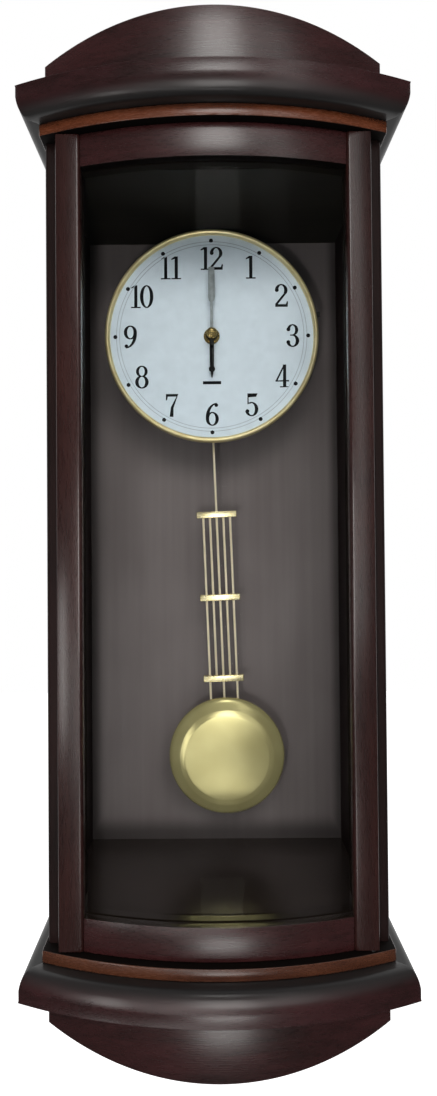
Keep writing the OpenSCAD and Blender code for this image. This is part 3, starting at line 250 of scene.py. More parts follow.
# %% A finish with an even speckle
def speckled(name, dark, light, size_mm, rough, metallic=0.0, bump=0.15, deep_mm=0.05, shine=0.5):
    material, tree = blank(name)
    where = put(tree, "TexCoord").outputs["Object"]
    noise = put(tree, "TexNoise", {"Vector": where, "Scale": 1 / mm(size_mm), "Detail": 3.0,
                                   "Roughness": 0.6})
    colour = put(tree, "ValToRGB", {0: noise}, stops=((0.3, dark), (0.7, light)))
    relief = put(tree, "Bump", {"Height": noise, "Strength": bump, "Distance": mm(deep_mm)})
    gloss = put(tree, "MapRange", {0: noise, 3: rough - 0.05, 4: rough + 0.05})
    skin = put(tree, "BsdfPrincipled", {
        "Base Color": colour, "Roughness": gloss, "Metallic": metallic, "Normal": relief,
        "Specular IOR Level": shine})
    return shown(material, tree, skin)


# %% Plain finishes behind the clock
raw_finish = stained("planed softwood", "#a5835c", "#c4a077", ACROSS, rough=0.62, coat=0.0, pore=0.2,
                     figure_mm=4.0, long_mm=120.0)
felt_finish = speckled("pressed wool felt", "#2b302d", "#3c423e", 0.8, 0.95, bump=0.5, deep_mm=0.25)
abs_finish = speckled("spark-textured black ABS", "#141415", "#1b1b1c", 0.6, 0.52, bump=0.3)
zinc_finish = speckled("zinc plated steel", "#a9adb0", "#c3c6c8", 1.2, 0.34, metallic=1.0, bump=0.05)
dull_metal = speckled("plain aluminium", "#8e9093", "#a3a5a7", 1.5, 0.42, metallic=1.0, bump=0.05)
resist = speckled("green solder resist", "#123b22", "#1a4a2b", 2.0, 0.3, bump=0.05)
chip_finish = speckled("moulded epoxy", "#101011", "#18181a", 0.7, 0.5, bump=0.2)
wrap_finish = speckled("plain cell wrap", "#1c1c1f", "#26262a", 3.0, 0.25, bump=0.02)
copper_finish = speckled("enamelled copper winding", "#8a4620", "#a9592b", 0.5, 0.35, metallic=0.7, bump=0.3)
grey_finish = speckled("grey moulded acetal", "#3f4042", "#4b4c4e", 0.7, 0.45, bump=0.2)
print("materials after the plain finishes:", len(bpy.data.materials))

# %% [markdown]
# ### Brass and gilt
# The bob, the bars and the bezel are thin pressed brass under clear lacquer, paler than cast brass. Plating
# is never even, so a soft noise moves both colour and gloss a little. Under the lacquer the surface is finely
# dulled and spreads some light like paint, so these metals are not fully metallic. The rods are drawn
# through a die, which leaves lines along them, finer than a tenth of a millimetre; they are drawn at half a
# millimetre so that they show.

# %% A finish for plated metal
def plated(name, colour, shade, rough, size_mm, long_mm=None, spread=0.05, bump=0.02, lacquer=0.0,
           metallic=1.0):
    material, tree = blank(name)
    where = put(tree, "TexCoord").outputs["Object"]
    noise, = streaks(tree, where, TALL, (size_mm, long_mm or size_mm, {"Detail": 3.0}))
    colour = put(tree, "ValToRGB", {0: noise}, stops=((0.3, shade), (0.7, colour)))
    gloss = put(tree, "MapRange", {0: noise, 3: rough - spread, 4: rough + spread})
    relief = put(tree, "Bump", {"Height": noise, "Strength": bump, "Distance": mm(0.05)})
    metal = put(tree, "BsdfPrincipled", {
        "Base Color": colour, "Metallic": metallic, "Roughness": gloss, "Normal": relief,
        "Coat Weight": lacquer, "Coat Roughness": 0.08})
    return shown(material, tree, metal)


bob_finish = plated("lacquered spun brass", "#e4d99c", "#d4c98c", 0.24, 30, spread=0.03, bump=0.01,
                    lacquer=0.1, metallic=0.72)
bar_finish = plated("polished gilt brass", "#fff3c8", "#f6e3a4", 0.24, 2.5, metallic=0.8)
rod_finish = plated("drawn brass rod", "#fff4da", "#f6e6bf", 0.36, 0.5, 25, metallic=0.55)
bezel_finish = plated("gilt bezel", "#fbeebc", "#ecd99f", 0.38, 14, metallic=0.75)
cap_finish = plated("turned brass cap", "#bda76c", "#85744a", 0.18, 1.5, metallic=0.75)
plain_brass = plated("plain brass", "#d8bd74", "#c6a95d", 0.3, 3.0)
print("materials after the brasses:", len(bpy.data.materials))

# %% [markdown]
# ### Enamel, ink and the hands
# The dial is sheet metal sprayed with cool white enamel and screen printed. The figures and dots are black,
# the two thin track rings grey. They lie on one film, so the ink is one material that turns grey where the
# distance from the dial's centre is that of a ring, except at the hour dots. The hands are pressed steel: the
# hour hand black, the minute hand black too, with the light that its polish throws back painted grey on it.

# %% Enamel and ink
TRACK_RINGS = (77.83, 80.43)     # middle of the two rings' lines, from the dial's centre
LINE_REACH = 0.4                 # the grey reaches this far to either side
hour_black = speckled("black enamelled steel", "#060607", "#0b0b0c", 1.2, 0.3, bump=0.05, shine=0.2)
dial_white = speckled("cool white enamel paint", "#c3cfd7", "#cbd7df", 9.0, 0.4, bump=0.03)


def from_dial(tree):
    """The place on the dial as a flat vector from its centre."""
    where = put(tree, "TexCoord").outputs["Object"]
    centre = (-mm(DIAL[0]), 0, -mm(DIAL[1] - HANG))
    return put(tree, "Mapping", {"Vector": where, "Scale": (1, 0, 1), "Location": centre})


def printed_ink():
    material, tree = blank("black screen ink with grey tracks")
    flat = from_dial(tree)
    far = put(tree, "VectorMath", {0: flat}, operation="LENGTH").outputs["Value"]
    inner, outer = [put(tree, "Math", {0: far, 1: mm(ring), 2: mm(LINE_REACH)}, operation="COMPARE")
                    for ring in TRACK_RINGS]
    parts = put(tree, "SeparateXYZ", {0: flat})
    turn = put(tree, "Math", {0: parts.outputs["X"], 1: parts.outputs["Z"]}, operation="ARCTAN2")
    twelve = put(tree, "Math", {0: turn, 1: 12.0}, operation="MULTIPLY")
    wave = put(tree, "Math", {0: twelve}, operation="COSINE")
    no_dot = put(tree, "Math", {0: wave, 1: 0.968}, operation="LESS_THAN")
    clear = put(tree, "Math", {0: outer, 1: no_dot}, operation="MULTIPLY")
    track = put(tree, "Math", {0: inner, 1: clear}, operation="MAXIMUM")
    colour = put(tree, "Mix", {0: track, 6: tone("#07090c"), 7: tone("#8d979d")}, data_type="RGBA")
    ink = put(tree, "BsdfPrincipled", {"Base Color": colour.outputs[2], "Roughness": 0.5,
                                       "Specular IOR Level": 0.15})
    return shown(material, tree, ink)


ink_finish = printed_ink()
print("grey rings at", TRACK_RINGS, "mm")

# %% The minute hand's steel
def hand_steel():
    """Black steel with a painted grey reflection on the blade; the tail below the hub is left plain black."""
    material, tree = blank("black steel, painted grey sheen, black tail")
    flat = from_dial(tree)
    parts = put(tree, "SeparateXYZ", {0: flat})
    tail = put(tree, "Math", {0: parts.outputs["Z"], 1: mm(2.0)}, operation="LESS_THAN")
    speck = put(tree, "TexNoise", {"Vector": flat, "Scale": 1 / mm(6), "Detail": 2.0})
    # painted reflection: mid grey on the blade, standing for the light that its polish throws back
    painted_sheen = put(tree, "ValToRGB", {0: speck}, stops=((0.35, "#737a7b"), (0.65, "#8f9697")))
    colour = put(tree, "Mix", {0: tail, 6: painted_sheen, 7: tone("#0b0b0c")}, data_type="RGBA")
    steel = put(tree, "BsdfPrincipled", {"Base Color": colour.outputs[2], "Roughness": 0.4, "Metallic": 0.3})
    return shown(material, tree, steel)


minute_grey = hand_steel()
print("last finish of the dial:", minute_grey.name)

# %% [markdown]
# ### The bent glass
# It is clear float glass, 2.5 mm thick, bent to the bow of the door. Light from the lamps and light that
# has bounced inside the case pass it freely, so the glass shader is swapped for a transparent one on those
# rays. The eye still sees the gloss and the slight bend of the glass. Only the front faces mirror: on the way
# out through the back faces the light just bends, or the bowed pane would show every lamp a second time.

# %% Clear glass
def clear_glass():
    material, tree = blank("bent clear float glass")
    ray = put(tree, "LightPath")
    passes = put(tree, "Math", {0: ray.outputs["Is Shadow Ray"], 1: ray.outputs["Is Diffuse Ray"]},
                 operation="MAXIMUM")
    glass = put(tree, "BsdfPrincipled", {
        "Base Color": tone("#fafbfb"), "Roughness": 0.0, "IOR": 1.45, "Specular Tint": tone("#080808"),
        "Transmission Weight": 1.0})
    free = put(tree, "BsdfTransparent", {"Color": tone("#f8f9f9")})
    side = put(tree, "NewGeometry")
    bent = put(tree, "BsdfRefraction", {"Color": tone("#fafbfb"), "Roughness": 0.0, "IOR": 1.45})
    sheet = put(tree, "MixShader", {0: side.outputs["Backfacing"], 1: glass, 2: bent})
    both = put(tree, "MixShader", {0: passes, 1: sheet, 2: free})
    return shown(material, tree, both)


glass_finish = clear_glass()
print("materials in all:", len(bpy.data.materials))

# %% [markdown]
# ## Tools for the bench
# Blender's tools act on whatever is selected, and loading the frame leaves it selected. So each step starts
# by choosing exactly one piece, and opens it in edit mode with all of it selected.

# %% Choose a piece and open it
def none_selected():
    if bpy.context.object and bpy.context.object.mode != "OBJECT":
        bpy.ops.object.mode_set(mode="OBJECT")
    for other in list(bpy.context.selected_objects):
        other.select_set(False)


def only(piece):
    """Selects this piece alone and makes it the active one."""
    none_selected()
    piece.select_set(True)
    bpy.context.view_layer.objects.active = piece


def opened(piece):
    """Opens this piece alone in edit mode, all of it selected."""
    only(piece)
    bpy.ops.object.mode_set(mode="EDIT")
    bpy.ops.mesh.select_all(action="SELECT")


print("selected after loading:", len(bpy.context.selected_objects), "objects")

# %% [markdown]
# A moulding or a hand begins as an outline. By hand one would click its corners with the extrude tool: a
# plane is merged to a single point, the point is carried to the first corner, and each extrusion draws the
# next side. Closing the ring with a face gives the section.

# %% Draw an outline
def drawn(name, points):
    none_selected()
    bpy.ops.mesh.primitive_plane_add(size=mm(1), location=(0, 0, 0))
    piece = bpy.context.object
    piece.name = piece.data.name = name
    bpy.context.tool_settings.mesh_select_mode = (True, False, False)
    opened(piece)
    bpy.ops.mesh.merge(type="CENTER")
    bpy.ops.transform.translate(value=points[0])
    for here, there in zip(points, points[1:]):
        bpy.ops.mesh.extrude_vertices_move(TRANSFORM_OT_translate={"value": Vector(there) - Vector(here)})
    bpy.ops.mesh.select_all(action="SELECT")
    bpy.ops.mesh.edge_face_add()
    bpy.ops.object.mode_set(mode="OBJECT")
    print(name, "drawn with", len(points), "corners")
    return piece


# %% [markdown]
# A flat outline becomes a board by one extrusion. Afterwards loose seams are joined and the faces are made to
# point outwards. Real wood and metal edges are never sharp, so a bevel modifier eases every edge that turns
# by more than a set angle, and is applied at once. Then the broad faces are shaded smooth and the corners
# stay crisp.

# %% Thicken, ease the edges, shade
def outward(piece):
    """Joins loose seams and turns every face outwards."""
    opened(piece)
    bpy.ops.mesh.remove_doubles(threshold=mm(0.004))
    bpy.ops.mesh.normals_make_consistent(inside=False)
    bpy.ops.object.mode_set(mode="OBJECT")
    return piece


def thickened(piece, way):
    """Extrudes the outline by the vector way."""
    opened(piece)
    bpy.ops.mesh.extrude_region_move(TRANSFORM_OT_translate={"value": way})
    bpy.ops.object.mode_set(mode="OBJECT")
    return outward(piece)


def eased(piece, width, segments=3, turn=35):
    """Rounds every edge that turns by more than turn degrees, over width millimetres."""
    only(piece)
    soft = piece.modifiers.new("eased edges", "BEVEL")
    soft.width = mm(width)
    soft.segments = segments
    soft.limit_method = "ANGLE"
    soft.angle_limit = math.radians(turn)
    bpy.ops.object.modifier_apply(modifier=soft.name)
    return piece


def smooth(piece, turn=30):
    """Shades the piece smooth, but for the edges that turn by more than turn degrees."""
    only(piece)
    bpy.ops.object.shade_smooth_by_angle(angle=math.radians(turn))
    return piece


# %% [markdown]
# The case is the same above and below, so each bowed piece is modelled once for the top and turned over for
# the bottom, as a copy with its own mesh. Mirroring turns a mesh inside out, so its faces are set right
# again.

# %% Turn a copy over
def turned_over(piece, name, turn=30):
    none_selected()
    copy = piece.copy()
    copy.data = piece.data.copy()
    copy.name = copy.data.name = name
    bpy.context.scene.collection.objects.link(copy)
    opened(copy)
    bpy.ops.transform.resize(value=(1, 1, -1), center_override=at(0, 0, 0))
    bpy.ops.object.mode_set(mode="OBJECT")
    return smooth(outward(copy), turn)


# %% [markdown]
# A finished piece takes its material, moves with one body of the frame, and stands in for the CAD nodes that
# it copies. Some faces are given a second finish: a polished ledge, or a near-black painted shade.

# %% Fit a piece into the frame
def fitted(piece, body, finish, slot, *stands_for):
    piece.data.materials.clear()
    piece.data.materials.append(finish)
    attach(piece, body)
    if stands_for:
        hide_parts(*stands_for)
    print(piece.name, len(piece.data.polygons), "faces on", body)


def faced(piece, finish, test):
    """Gives the faces for which test is true a second finish, and counts them."""
    piece.data.materials.append(finish)
    chosen = [face for face in piece.data.polygons if test(face)]
    for face in chosen:
        face.material_index = 1
    print(piece.name, len(chosen), "faces in", finish.name)


# %% [markdown]
# ## The belt boards
# A belt board is flat, closes the case above or below, and shows only its bowed, redder edge. It could be cut
# from a block with a curved cutter. Drawing its outline is simpler and puts every corner where it belongs:
# straight at the wall and the sides, then 48 short steps along the bow.

# %% Belt boards
BELT_RADIUS = BOW_RADIUS + 5.5
BELT_HALF = 124.5
BELT_LOW = 289
BELT_STEPS = 48


def belt_board():
    xs = [-BELT_HALF + 2 * BELT_HALF * i / BELT_STEPS for i in range(BELT_STEPS + 1)]
    points = [at(-BELT_HALF, 0, BELT_LOW)]
    points += [at(x, BOW_Y - math.sqrt(BELT_RADIUS ** 2 - x ** 2), BELT_LOW) for x in xs]
    points += [at(BELT_HALF, 0, BELT_LOW)]
    board = thickened(drawn("upper_belt_board", points), (0, 0, mm(BELT_TOP - BELT_LOW)))
    return smooth(eased(board, 0.8))


upper_belt = belt_board()
lower_belt = turned_over(upper_belt, "lower_belt_board")
fitted(upper_belt, "case", belt_finish, "belt_wood", "upper_belt")
fitted(lower_belt, "case", lower_belt_shaded, "belt_wood", "lower_belt")
# the level faces of the belt boards get the near-black painted shade
for belt in (upper_belt, lower_belt):
    faced(belt, shadow_finish, lambda face: abs(face.normal.z) > 0.9)

# %% [markdown]
# ## The cornices
# The crown moulding springs from the belt board with a narrow flat shelf, swells out in a quarter oval and
# runs on, without a step, into a fascia that leans out by a hair. A moulder would cut this profile along a
# bent blank: the section is drawn once, spun round the bow's axis, and sawn on the mitre plane. The side
# returns are the same section, pushed straight back to the wall and sawn on the same plane.

# %% The moulding's section, as width beyond the belt's edge and height
CORNICE_TOP = 318
CORNICE_BACK, SHELF, OUT, FASCIA, LEAN_OUT = 8.0, 5.5, 14.0, 8.0, 0.3
OVAL_TO, OVAL_STEP = 80, 5       # degrees of the quarter oval that are used, and its steps


def moulding():
    low, middle = BELT_TOP, CORNICE_TOP - FASCIA
    last = math.radians(OVAL_TO)
    wide, high = (OUT - LEAN_OUT - SHELF) / math.sin(last), (middle - low) / (1 - math.cos(last))
    angles = [math.radians(a) for a in range(OVAL_STEP, OVAL_TO + 1, OVAL_STEP)]
    return [(-CORNICE_BACK, low), (SHELF, low),
            *[(SHELF + wide * math.sin(a), low + high * (1 - math.cos(a))) for a in angles],
            (OUT - 0.35, CORNICE_TOP - 1.3), (OUT, CORNICE_TOP - 0.4), (OUT, CORNICE_TOP),
            (-CORNICE_BACK, CORNICE_TOP)]


print("moulding section:", len(moulding()), "corners")

# %% Where the mitre lies
def edge_point(radius, half):
    return Vector((mm(half), mm(BOW_Y - math.sqrt(radius ** 2 - half ** 2)), 0))


mitre_in = edge_point(BELT_RADIUS - CORNICE_BACK, BELT_HALF - CORNICE_BACK)
mitre_out = edge_point(BELT_RADIUS + OUT, BELT_HALF + OUT)
mitre_way = mitre_out - mitre_in
mitre_normal = Vector((-mitre_way.y, mitre_way.x, 0)).normalized()
if mitre_normal.x < 0:
    mitre_normal = -mitre_normal
print("mitre plane turns", round(math.degrees(math.atan2(mitre_way.y, mitre_way.x)), 1), "degrees")

# %% Bend a section round the bow, and saw it off
def bent(name, section, reach, steps):
    """Spins a section of radii and heights about the bow's axis, as far as reach on either side."""
    points = [at(-r * math.sin(reach), BOW_Y - r * math.cos(reach), z) for r, z in section]
    piece = drawn(name, points)
    opened(piece)
    bpy.ops.mesh.spin(steps=steps, angle=-2 * reach, center=at(0, BOW_Y, 0), axis=(0, 0, 1))
    bpy.ops.object.mode_set(mode="OBJECT")
    return outward(piece)


def sawn(piece, point, normal):
    """Cuts the piece with a plane, drops what lies on the side of the normal and closes the cut."""
    opened(piece)
    bpy.ops.mesh.bisect(plane_co=point, plane_no=normal, use_fill=True, clear_outer=True)
    bpy.ops.object.mode_set(mode="OBJECT")
    return outward(piece)


def squared(piece, half):
    """Saws both ends of the piece upright, as far as half from the middle."""
    sawn(piece, at(half, 0, 0), (1, 0, 0))
    return sawn(piece, at(-half, 0, 0), (-1, 0, 0))


# %% Front moulding and side returns of the upper cornice, then the lower ones
def joined(name, pieces):
    """Makes one object of several."""
    none_selected()
    for piece in pieces:
        piece.select_set(True)
    bpy.context.view_layer.objects.active = pieces[0]
    bpy.ops.object.join()
    pieces[0].name = pieces[0].data.name = name
    return pieces[0]


def cornice_front():
    section = [(BELT_RADIUS + w, z) for w, z in moulding()]
    front = bent("upper_cornice_moulding", section, math.radians(21), 84)
    for side in (1, -1):
        sawn(front, Vector((side * mitre_out.x, mitre_out.y, 0)),
             Vector((side * mitre_normal.x, mitre_normal.y, 0)))
    return smooth(eased(front, 0.35, 2, 50), 40)


def cornice_side(side):
    depth = 170
    points = [at(side * (BELT_HALF + w), -depth, z) for w, z in moulding()]
    strip = thickened(drawn("cornice_side", points), (0, mm(depth), 0))
    sawn(strip, Vector((side * mitre_out.x, mitre_out.y, 0)),
         Vector((-side * mitre_normal.x, -mitre_normal.y, 0)))
    return smooth(eased(strip, 0.35, 2, 50), 40)


upper_front = cornice_front()
lower_front = turned_over(upper_front, "lower_cornice_moulding", 40)
returns = [cornice_side(1), cornice_side(-1)]
returns += [turned_over(piece, "cornice_side_low", 40) for piece in list(returns)]
fitted(upper_front, "case", cornice_wood, "wood", "upper_cornice_front")
fitted(lower_front, "case", cornice_wood, "wood", "lower_cornice_front")
fitted(joined("cornice_side_returns", returns), "case", espresso_deep, "wood", "cornice_returns")

# %% [markdown]
# ## The arched pediment and apron
# Each is a bowed board, 12 mm thick, whose free edge is an arc. The board is spun like the moulding, its ends
# are sawn upright, and a wide disc lying across it is kept as the only part inside the arc, by a boolean
# intersection. Then the arris is eased by more than a millimetre, as a router does.

# %% Disc and carving tools
def disc(radius, thick, corners, x, y, z):
    """A round plate that faces the front."""
    none_selected()
    bpy.ops.mesh.primitive_cylinder_add(vertices=corners, radius=mm(radius), depth=mm(thick),
                                        rotation=(math.radians(90), 0, 0), location=at(x, y, z))
    return bpy.context.object


def carved(piece, cutter, operation="DIFFERENCE"):
    """Takes the cutter out of the piece, or keeps only what lies inside it."""
    only(piece)
    cut = piece.modifiers.new("cut", "BOOLEAN")
    cut.operation = operation
    cut.object = cutter
    cut.solver = "EXACT"
    bpy.ops.object.modifier_apply(modifier=cut.name)
    bpy.data.objects.remove(cutter)
    return outward(piece)


# %% Pediment and apron
ARCH_HALF, ARCH_TOP, ARCH_RISE, ARCH_THICK = 119.5, 365, 27.5, 12


def arched_board():
    back, over = BELT_RADIUS - ARCH_THICK, ARCH_TOP + 2
    section = [(back, CORNICE_TOP), (BELT_RADIUS, CORNICE_TOP), (BELT_RADIUS, over), (back, over)]
    board = squared(bent("arched_pediment_board", section, math.radians(19), 64), ARCH_HALF)
    arc = (ARCH_HALF ** 2 + ARCH_RISE ** 2) / (2 * ARCH_RISE)
    print("arc radius", round(arc, 1), "mm")
    carved(board, disc(arc, 120, 360, 0, -140, ARCH_TOP - arc), "INTERSECT")
    return smooth(eased(board, 1.3, 4, 50), 35)


pediment = arched_board()
apron = turned_over(pediment, "arched_apron_board", 35)
fitted(pediment, "case", espresso_wide, "wood", "arched_pediment")
fitted(apron, "case", espresso_wide, "wood", "arched_apron")

# %% [markdown]
# ## The door
# Two straight stiles and two bowed rails. A stile starts as a block, gets its glass rebate from a boolean
# cut, and its inner front edge is rounded over more than the others, because hands and cloths touch it.
# To round just that edge, it is picked in edit mode by where it lies.

# %% Blocks, and a way to pick parts
def block(name, low, high):
    """A box between two corners in millimetres."""
    none_selected()
    middle = [(a + b) / 2 for a, b in zip(low, high)]
    bpy.ops.mesh.primitive_cube_add(size=1, location=at(*middle))
    piece = bpy.context.object
    piece.name = piece.data.name = name
    piece.scale = [mm(b - a) for a, b in zip(low, high)]
    bpy.ops.object.transform_apply(location=True, rotation=True, scale=True)
    return piece


def pick(piece, kind, test):
    """In edit mode, selects only the corners or edges for which test is true, and counts them."""
    mesh = bmesh.from_edit_mesh(piece.data)
    bpy.context.tool_settings.mesh_select_mode = (kind == "VERT", kind == "EDGE", False)
    for group in (mesh.verts, mesh.edges, mesh.faces):
        for part in group:
            part.select = False
    chosen = [part for part in {"VERT": mesh.verts, "EDGE": mesh.edges}[kind] if test(part)]
    for part in chosen:
        part.select_set(True)
    mesh.select_flush_mode()
    bmesh.update_edit_mesh(piece.data)
    return len(chosen)


# %% Stiles
STILE_OUT, STILE_THICK, DOOR_HALF = 112, 17.5, 288
REBATE_WIDE, REBATE_FRONT, REBATE_HALF = 5.5, -135.1, 269.7


def stile(side):
    x0, x1 = sorted((side * STILE_IN, side * STILE_OUT))
    post = block("door_stile_" + ("right_post" if side > 0 else "left_post"),
                 (x0, STILE_FACE, -DOOR_HALF), (x1, STILE_FACE + STILE_THICK, DOOR_HALF))
    c0, c1 = sorted((side * (STILE_IN - 2), side * (STILE_IN + REBATE_WIDE)))
    carved(post, block("rebate", (c0, REBATE_FRONT, -REBATE_HALF), (c1, STILE_FACE + 20, REBATE_HALF)))
    opened(post)
    inner, front, near = side * mm(STILE_IN), mm(STILE_FACE), mm(0.01)
    found = pick(post, "EDGE", lambda edge: all(abs(v.co.x - inner) < near and abs(v.co.y - front) < near
                                                for v in edge.verts))
    bpy.ops.mesh.bevel(offset=mm(2.5), segments=6, affect="EDGES")
    bpy.ops.object.mode_set(mode="OBJECT")
    print("rounded over", found, "edge")
    return smooth(eased(post, 0.7, 3, 50), 35)


fitted(stile(1), "door", espresso_tall, "wood", "door_stile_right")
fitted(stile(-1), "door", espresso_tall, "wood", "door_stile_left")

# %% [markdown]
# The rails are bent like the cornice and butt against the stiles a millimetre behind their faces. Their inner
# ledges differ: the upper one is dull and near-black, as painted shade, while the lower one has gathered
# the lacquer.

# %% Rails, with the rebate for the glass behind them
RAIL_IN, RAIL_THICK, RAIL_LIP = 264.7, 15, 5.8
LEDGES_TO = 280                  # level faces nearer to the middle than this are the inner ledges


def rail():
    front, lip, back = BOW_RADIUS, BOW_RADIUS - RAIL_LIP, BOW_RADIUS - RAIL_THICK
    section = [(front, RAIL_IN), (front, DOOR_HALF), (back, DOOR_HALF), (back, REBATE_HALF),
               (lip, REBATE_HALF), (lip, RAIL_IN)]
    bar = squared(bent("door_rail_top_bar", section, math.radians(15), 60), STILE_IN)
    return smooth(eased(bar, 0.9, 3, 50), 35)


top_rail = rail()
bottom_rail = turned_over(top_rail, "door_rail_bottom_bar", 35)
fitted(top_rail, "door", espresso_wide, "wood", "door_rail_top")
fitted(bottom_rail, "door", espresso_wide, "wood", "door_rail_bottom")
# the upper inner ledge gets the near-black painted shade, the lower one the polished ledge finish
for bar, finish in ((top_rail, shadow_finish), (bottom_rail, ledge_finish)):
    faced(bar, finish,
          lambda face: abs(face.normal.z) > 0.7 and abs(face.center.z + mm(HANG)) < mm(LEDGES_TO))

# %% [markdown]
# The pane is one closed sheet with a front and a rear face, because light bends once on the way in and once
# on the way out. It lies in the rebates with room to spare, so its edges are never seen and stay square.

# %% Glass
GLASS_FRONT, GLASS_THICK = 389, 2.5
GLASS_HALF_WIDE, GLASS_HALF_TALL = 99.5, 269.3


def bent_glass():
    front, back, tall = GLASS_FRONT, GLASS_FRONT - GLASS_THICK, GLASS_HALF_TALL
    reach = math.asin(GLASS_HALF_WIDE / GLASS_FRONT)
    print("flat width of the pane", round(2 * reach * GLASS_FRONT, 1), "mm")
    return smooth(bent("door_bent_glass", [(front, -tall), (front, tall), (back, tall), (back, -tall)],
                       reach, 72))


fitted(bent_glass(), "door", glass_finish, "glass", "door_glass")

# %% [markdown]
# ## The dial
# A thin enamelled disc inside a gilt ring. A cylinder and a torus would come close, but the disc has an eased
# rim and a hole for the tube of the hour wheel, and the ring is a half round with a step behind that grips
# the disc. So both sections are drawn, as distance from the centre and distance in front of the disc's rear
# face, and spun a full turn.

# %% Dial plate and bezel
DIAL_FACE = -57.5
PLATE_THICK = 2
RING_RADIUS, RING_AHEAD, RING_BULGE = 87.9, 3.5, 2.1


def lathe(piece, steps, x, z):
    """Spins a section a full turn about a line from the wall to the front."""
    opened(piece)
    bpy.ops.mesh.spin(steps=steps, angle=math.radians(360), center=at(x, 0, z), axis=(0, 1, 0))
    bpy.ops.object.mode_set(mode="OBJECT")
    return outward(piece)


def turned(name, section, steps):
    """A ring about the dial's centre, from a section of radii and distances before the plate's rear."""
    points = [at(DIAL[0] + r, DIAL_FACE + PLATE_THICK - d, DIAL[1]) for r, d in section]
    return smooth(lathe(drawn(name, points), steps, DIAL[0], DIAL[1]), 40)


plate_section = [(4.15, 0), (4.15, PLATE_THICK), (88.0, PLATE_THICK), (88.4, 1.6), (88.4, 0)]
fitted(turned("dial_enamel_plate", plate_section, 160), "case", dial_white, "dial_white", "dial_plate")
bezel_section = [(88.42, 0), (90, 0)]
bezel_section += [(RING_RADIUS + RING_BULGE * math.cos(a), RING_AHEAD + RING_BULGE * math.sin(a))
                  for a in [math.radians(i * 15) for i in range(13)]]
bezel_section += [(85.8, 2.02), (88.42, 2.02)]
fitted(turned("dial_bezel_ring", bezel_section, 180), "case", bezel_finish, "gilt_metal", "bezel")

# %% [markdown]
# The figures' strokes are a little leaner in the frame than on the real dial, where the ink has spread. A
# copy of the print is fattened: its corners move out along their normals by a fifth of a millimetre, and the
# film is pressed thin again. Corners in a few sharp serifs move further, by up to a third of a millimetre.
# The two track rings keep their fine line.

# %% Figures with the weight that the ink has on the dial
INK_GAIN, INK_FILM = 0.2, 0.15
FIGURES_TO = 76.5                # the figures end and the rings begin this far from the centre


def spread_print():
    mesh = nodes["dial_print"].data.copy()
    piece = bpy.data.objects.new("dial_figures", mesh)
    mesh.name = piece.name
    bpy.context.scene.collection.objects.link(piece)
    opened(piece)
    bpy.ops.mesh.remove_doubles(threshold=mm(0.002))
    bpy.ops.mesh.normals_make_consistent(inside=False)
    x, z = mm(DIAL[0]), mm(DIAL[1] - HANG)
    found = pick(piece, "VERT", lambda v: math.hypot(v.co.x - x, v.co.z - z) < mm(FIGURES_TO))
    bpy.ops.transform.shrink_fatten(value=mm(INK_GAIN), use_even_offset=True)
    bpy.ops.transform.resize(value=(1, INK_FILM / (INK_FILM + 2 * INK_GAIN), 1),
                             center_override=at(0, DIAL_FACE - INK_FILM / 2, 0))
    bpy.ops.object.mode_set(mode="OBJECT")
    ys = [v.co.y * 1000 for v in mesh.vertices]
    print("fattened", found, "corners, film from", round(min(ys), 3), "to", round(max(ys), 3))
    return piece


fitted(spread_print(), "case", ink_finish, "ink", "dial_print")

# %% [markdown]
# ## Hands
# Each hand is stamped from thin steel: a round hub with a hole, a stem and a tip. The outline is drawn once
# round, arcs and all, and thickened by 0.8 mm. The hole is cut with a pin, and the arris is rubbed off, as
# tumbling does to stamped parts.

# %% Cut a hand from its outline
HAND_THICK = 0.8


def arc_run(z, r, first, last, steps):
    """Points along an arc about the height z on the hand's middle line, between two angles in degrees."""
    angles = [math.radians(first + (last - first) * i / steps) for i in range(steps + 1)]
    return [(r * math.cos(a), z + r * math.sin(a)) for a in angles]


def blade(name, outline, front, hole):
    points = [at(DIAL[0] + x, front + HAND_THICK, DIAL[1] + z) for x, z in outline]
    hand = thickened(drawn(name, points), (0, -mm(HAND_THICK), 0))
    carved(hand, disc(hole, 4, 48, DIAL[0], front, DIAL[1]))
    return smooth(eased(hand, 0.16, 2, 60))


# %% Hour hand, with a swelling near its tip
SWELL = -29.16
hour_outline = [*arc_run(0, 5, -67.7, 247.7, 36), *arc_run(SWELL, 2.6, 130.8, 240, 8), (-0.3, -36.5),
                (0.3, -36.5), *arc_run(SWELL, 2.6, -60, 49.2, 8)]
hour = blade("hour_hand_blade", hour_outline, -63.1, 3.02)
fitted(hour, "hour_hand", hour_black, "hand_black", "hour_hand")

# %% Minute hand, with a thin stem, a long leaf and a short tail
minute_outline = [(1, 26.1), (2.2, 27.4), (2.9, 30.5), (2.5, 54.9), (1.9, 55.5), (-1.9, 55.5), (-2.5, 54.9),
                  (-2.9, 30.5), (-2.2, 27.4), (-1, 26.1), *arc_run(0, 4.2, 107.3, 252.7, 18), (-1.6, -10),
                  (1.6, -10), *arc_run(0, 4.2, -72.7, 72.7, 18)]
minute = blade("minute_hand_blade", minute_outline, -65.5, 1.62)
fitted(minute, "minute_hand", minute_grey, "hand_black", "minute_hand")

# %% [markdown]
# ## The pendulum
# Five thin rods pass through three flat bars, as a make-believe gridiron, and carry the bob. All of it is
# drawn plumb below the pivot and then leant over by two degrees, as the photograph caught it. With no window
# open, the rotate tool needs to be told its centre.

# %% Lean a plumb piece over
PIVOT = (-1.5, -47.5, 104)
LEAN = math.radians(2.05)


def below(x, y, z):
    """A point in millimetres from the pendulum's pivot."""
    return (PIVOT[0] + x, PIVOT[1] + y, PIVOT[2] + z)


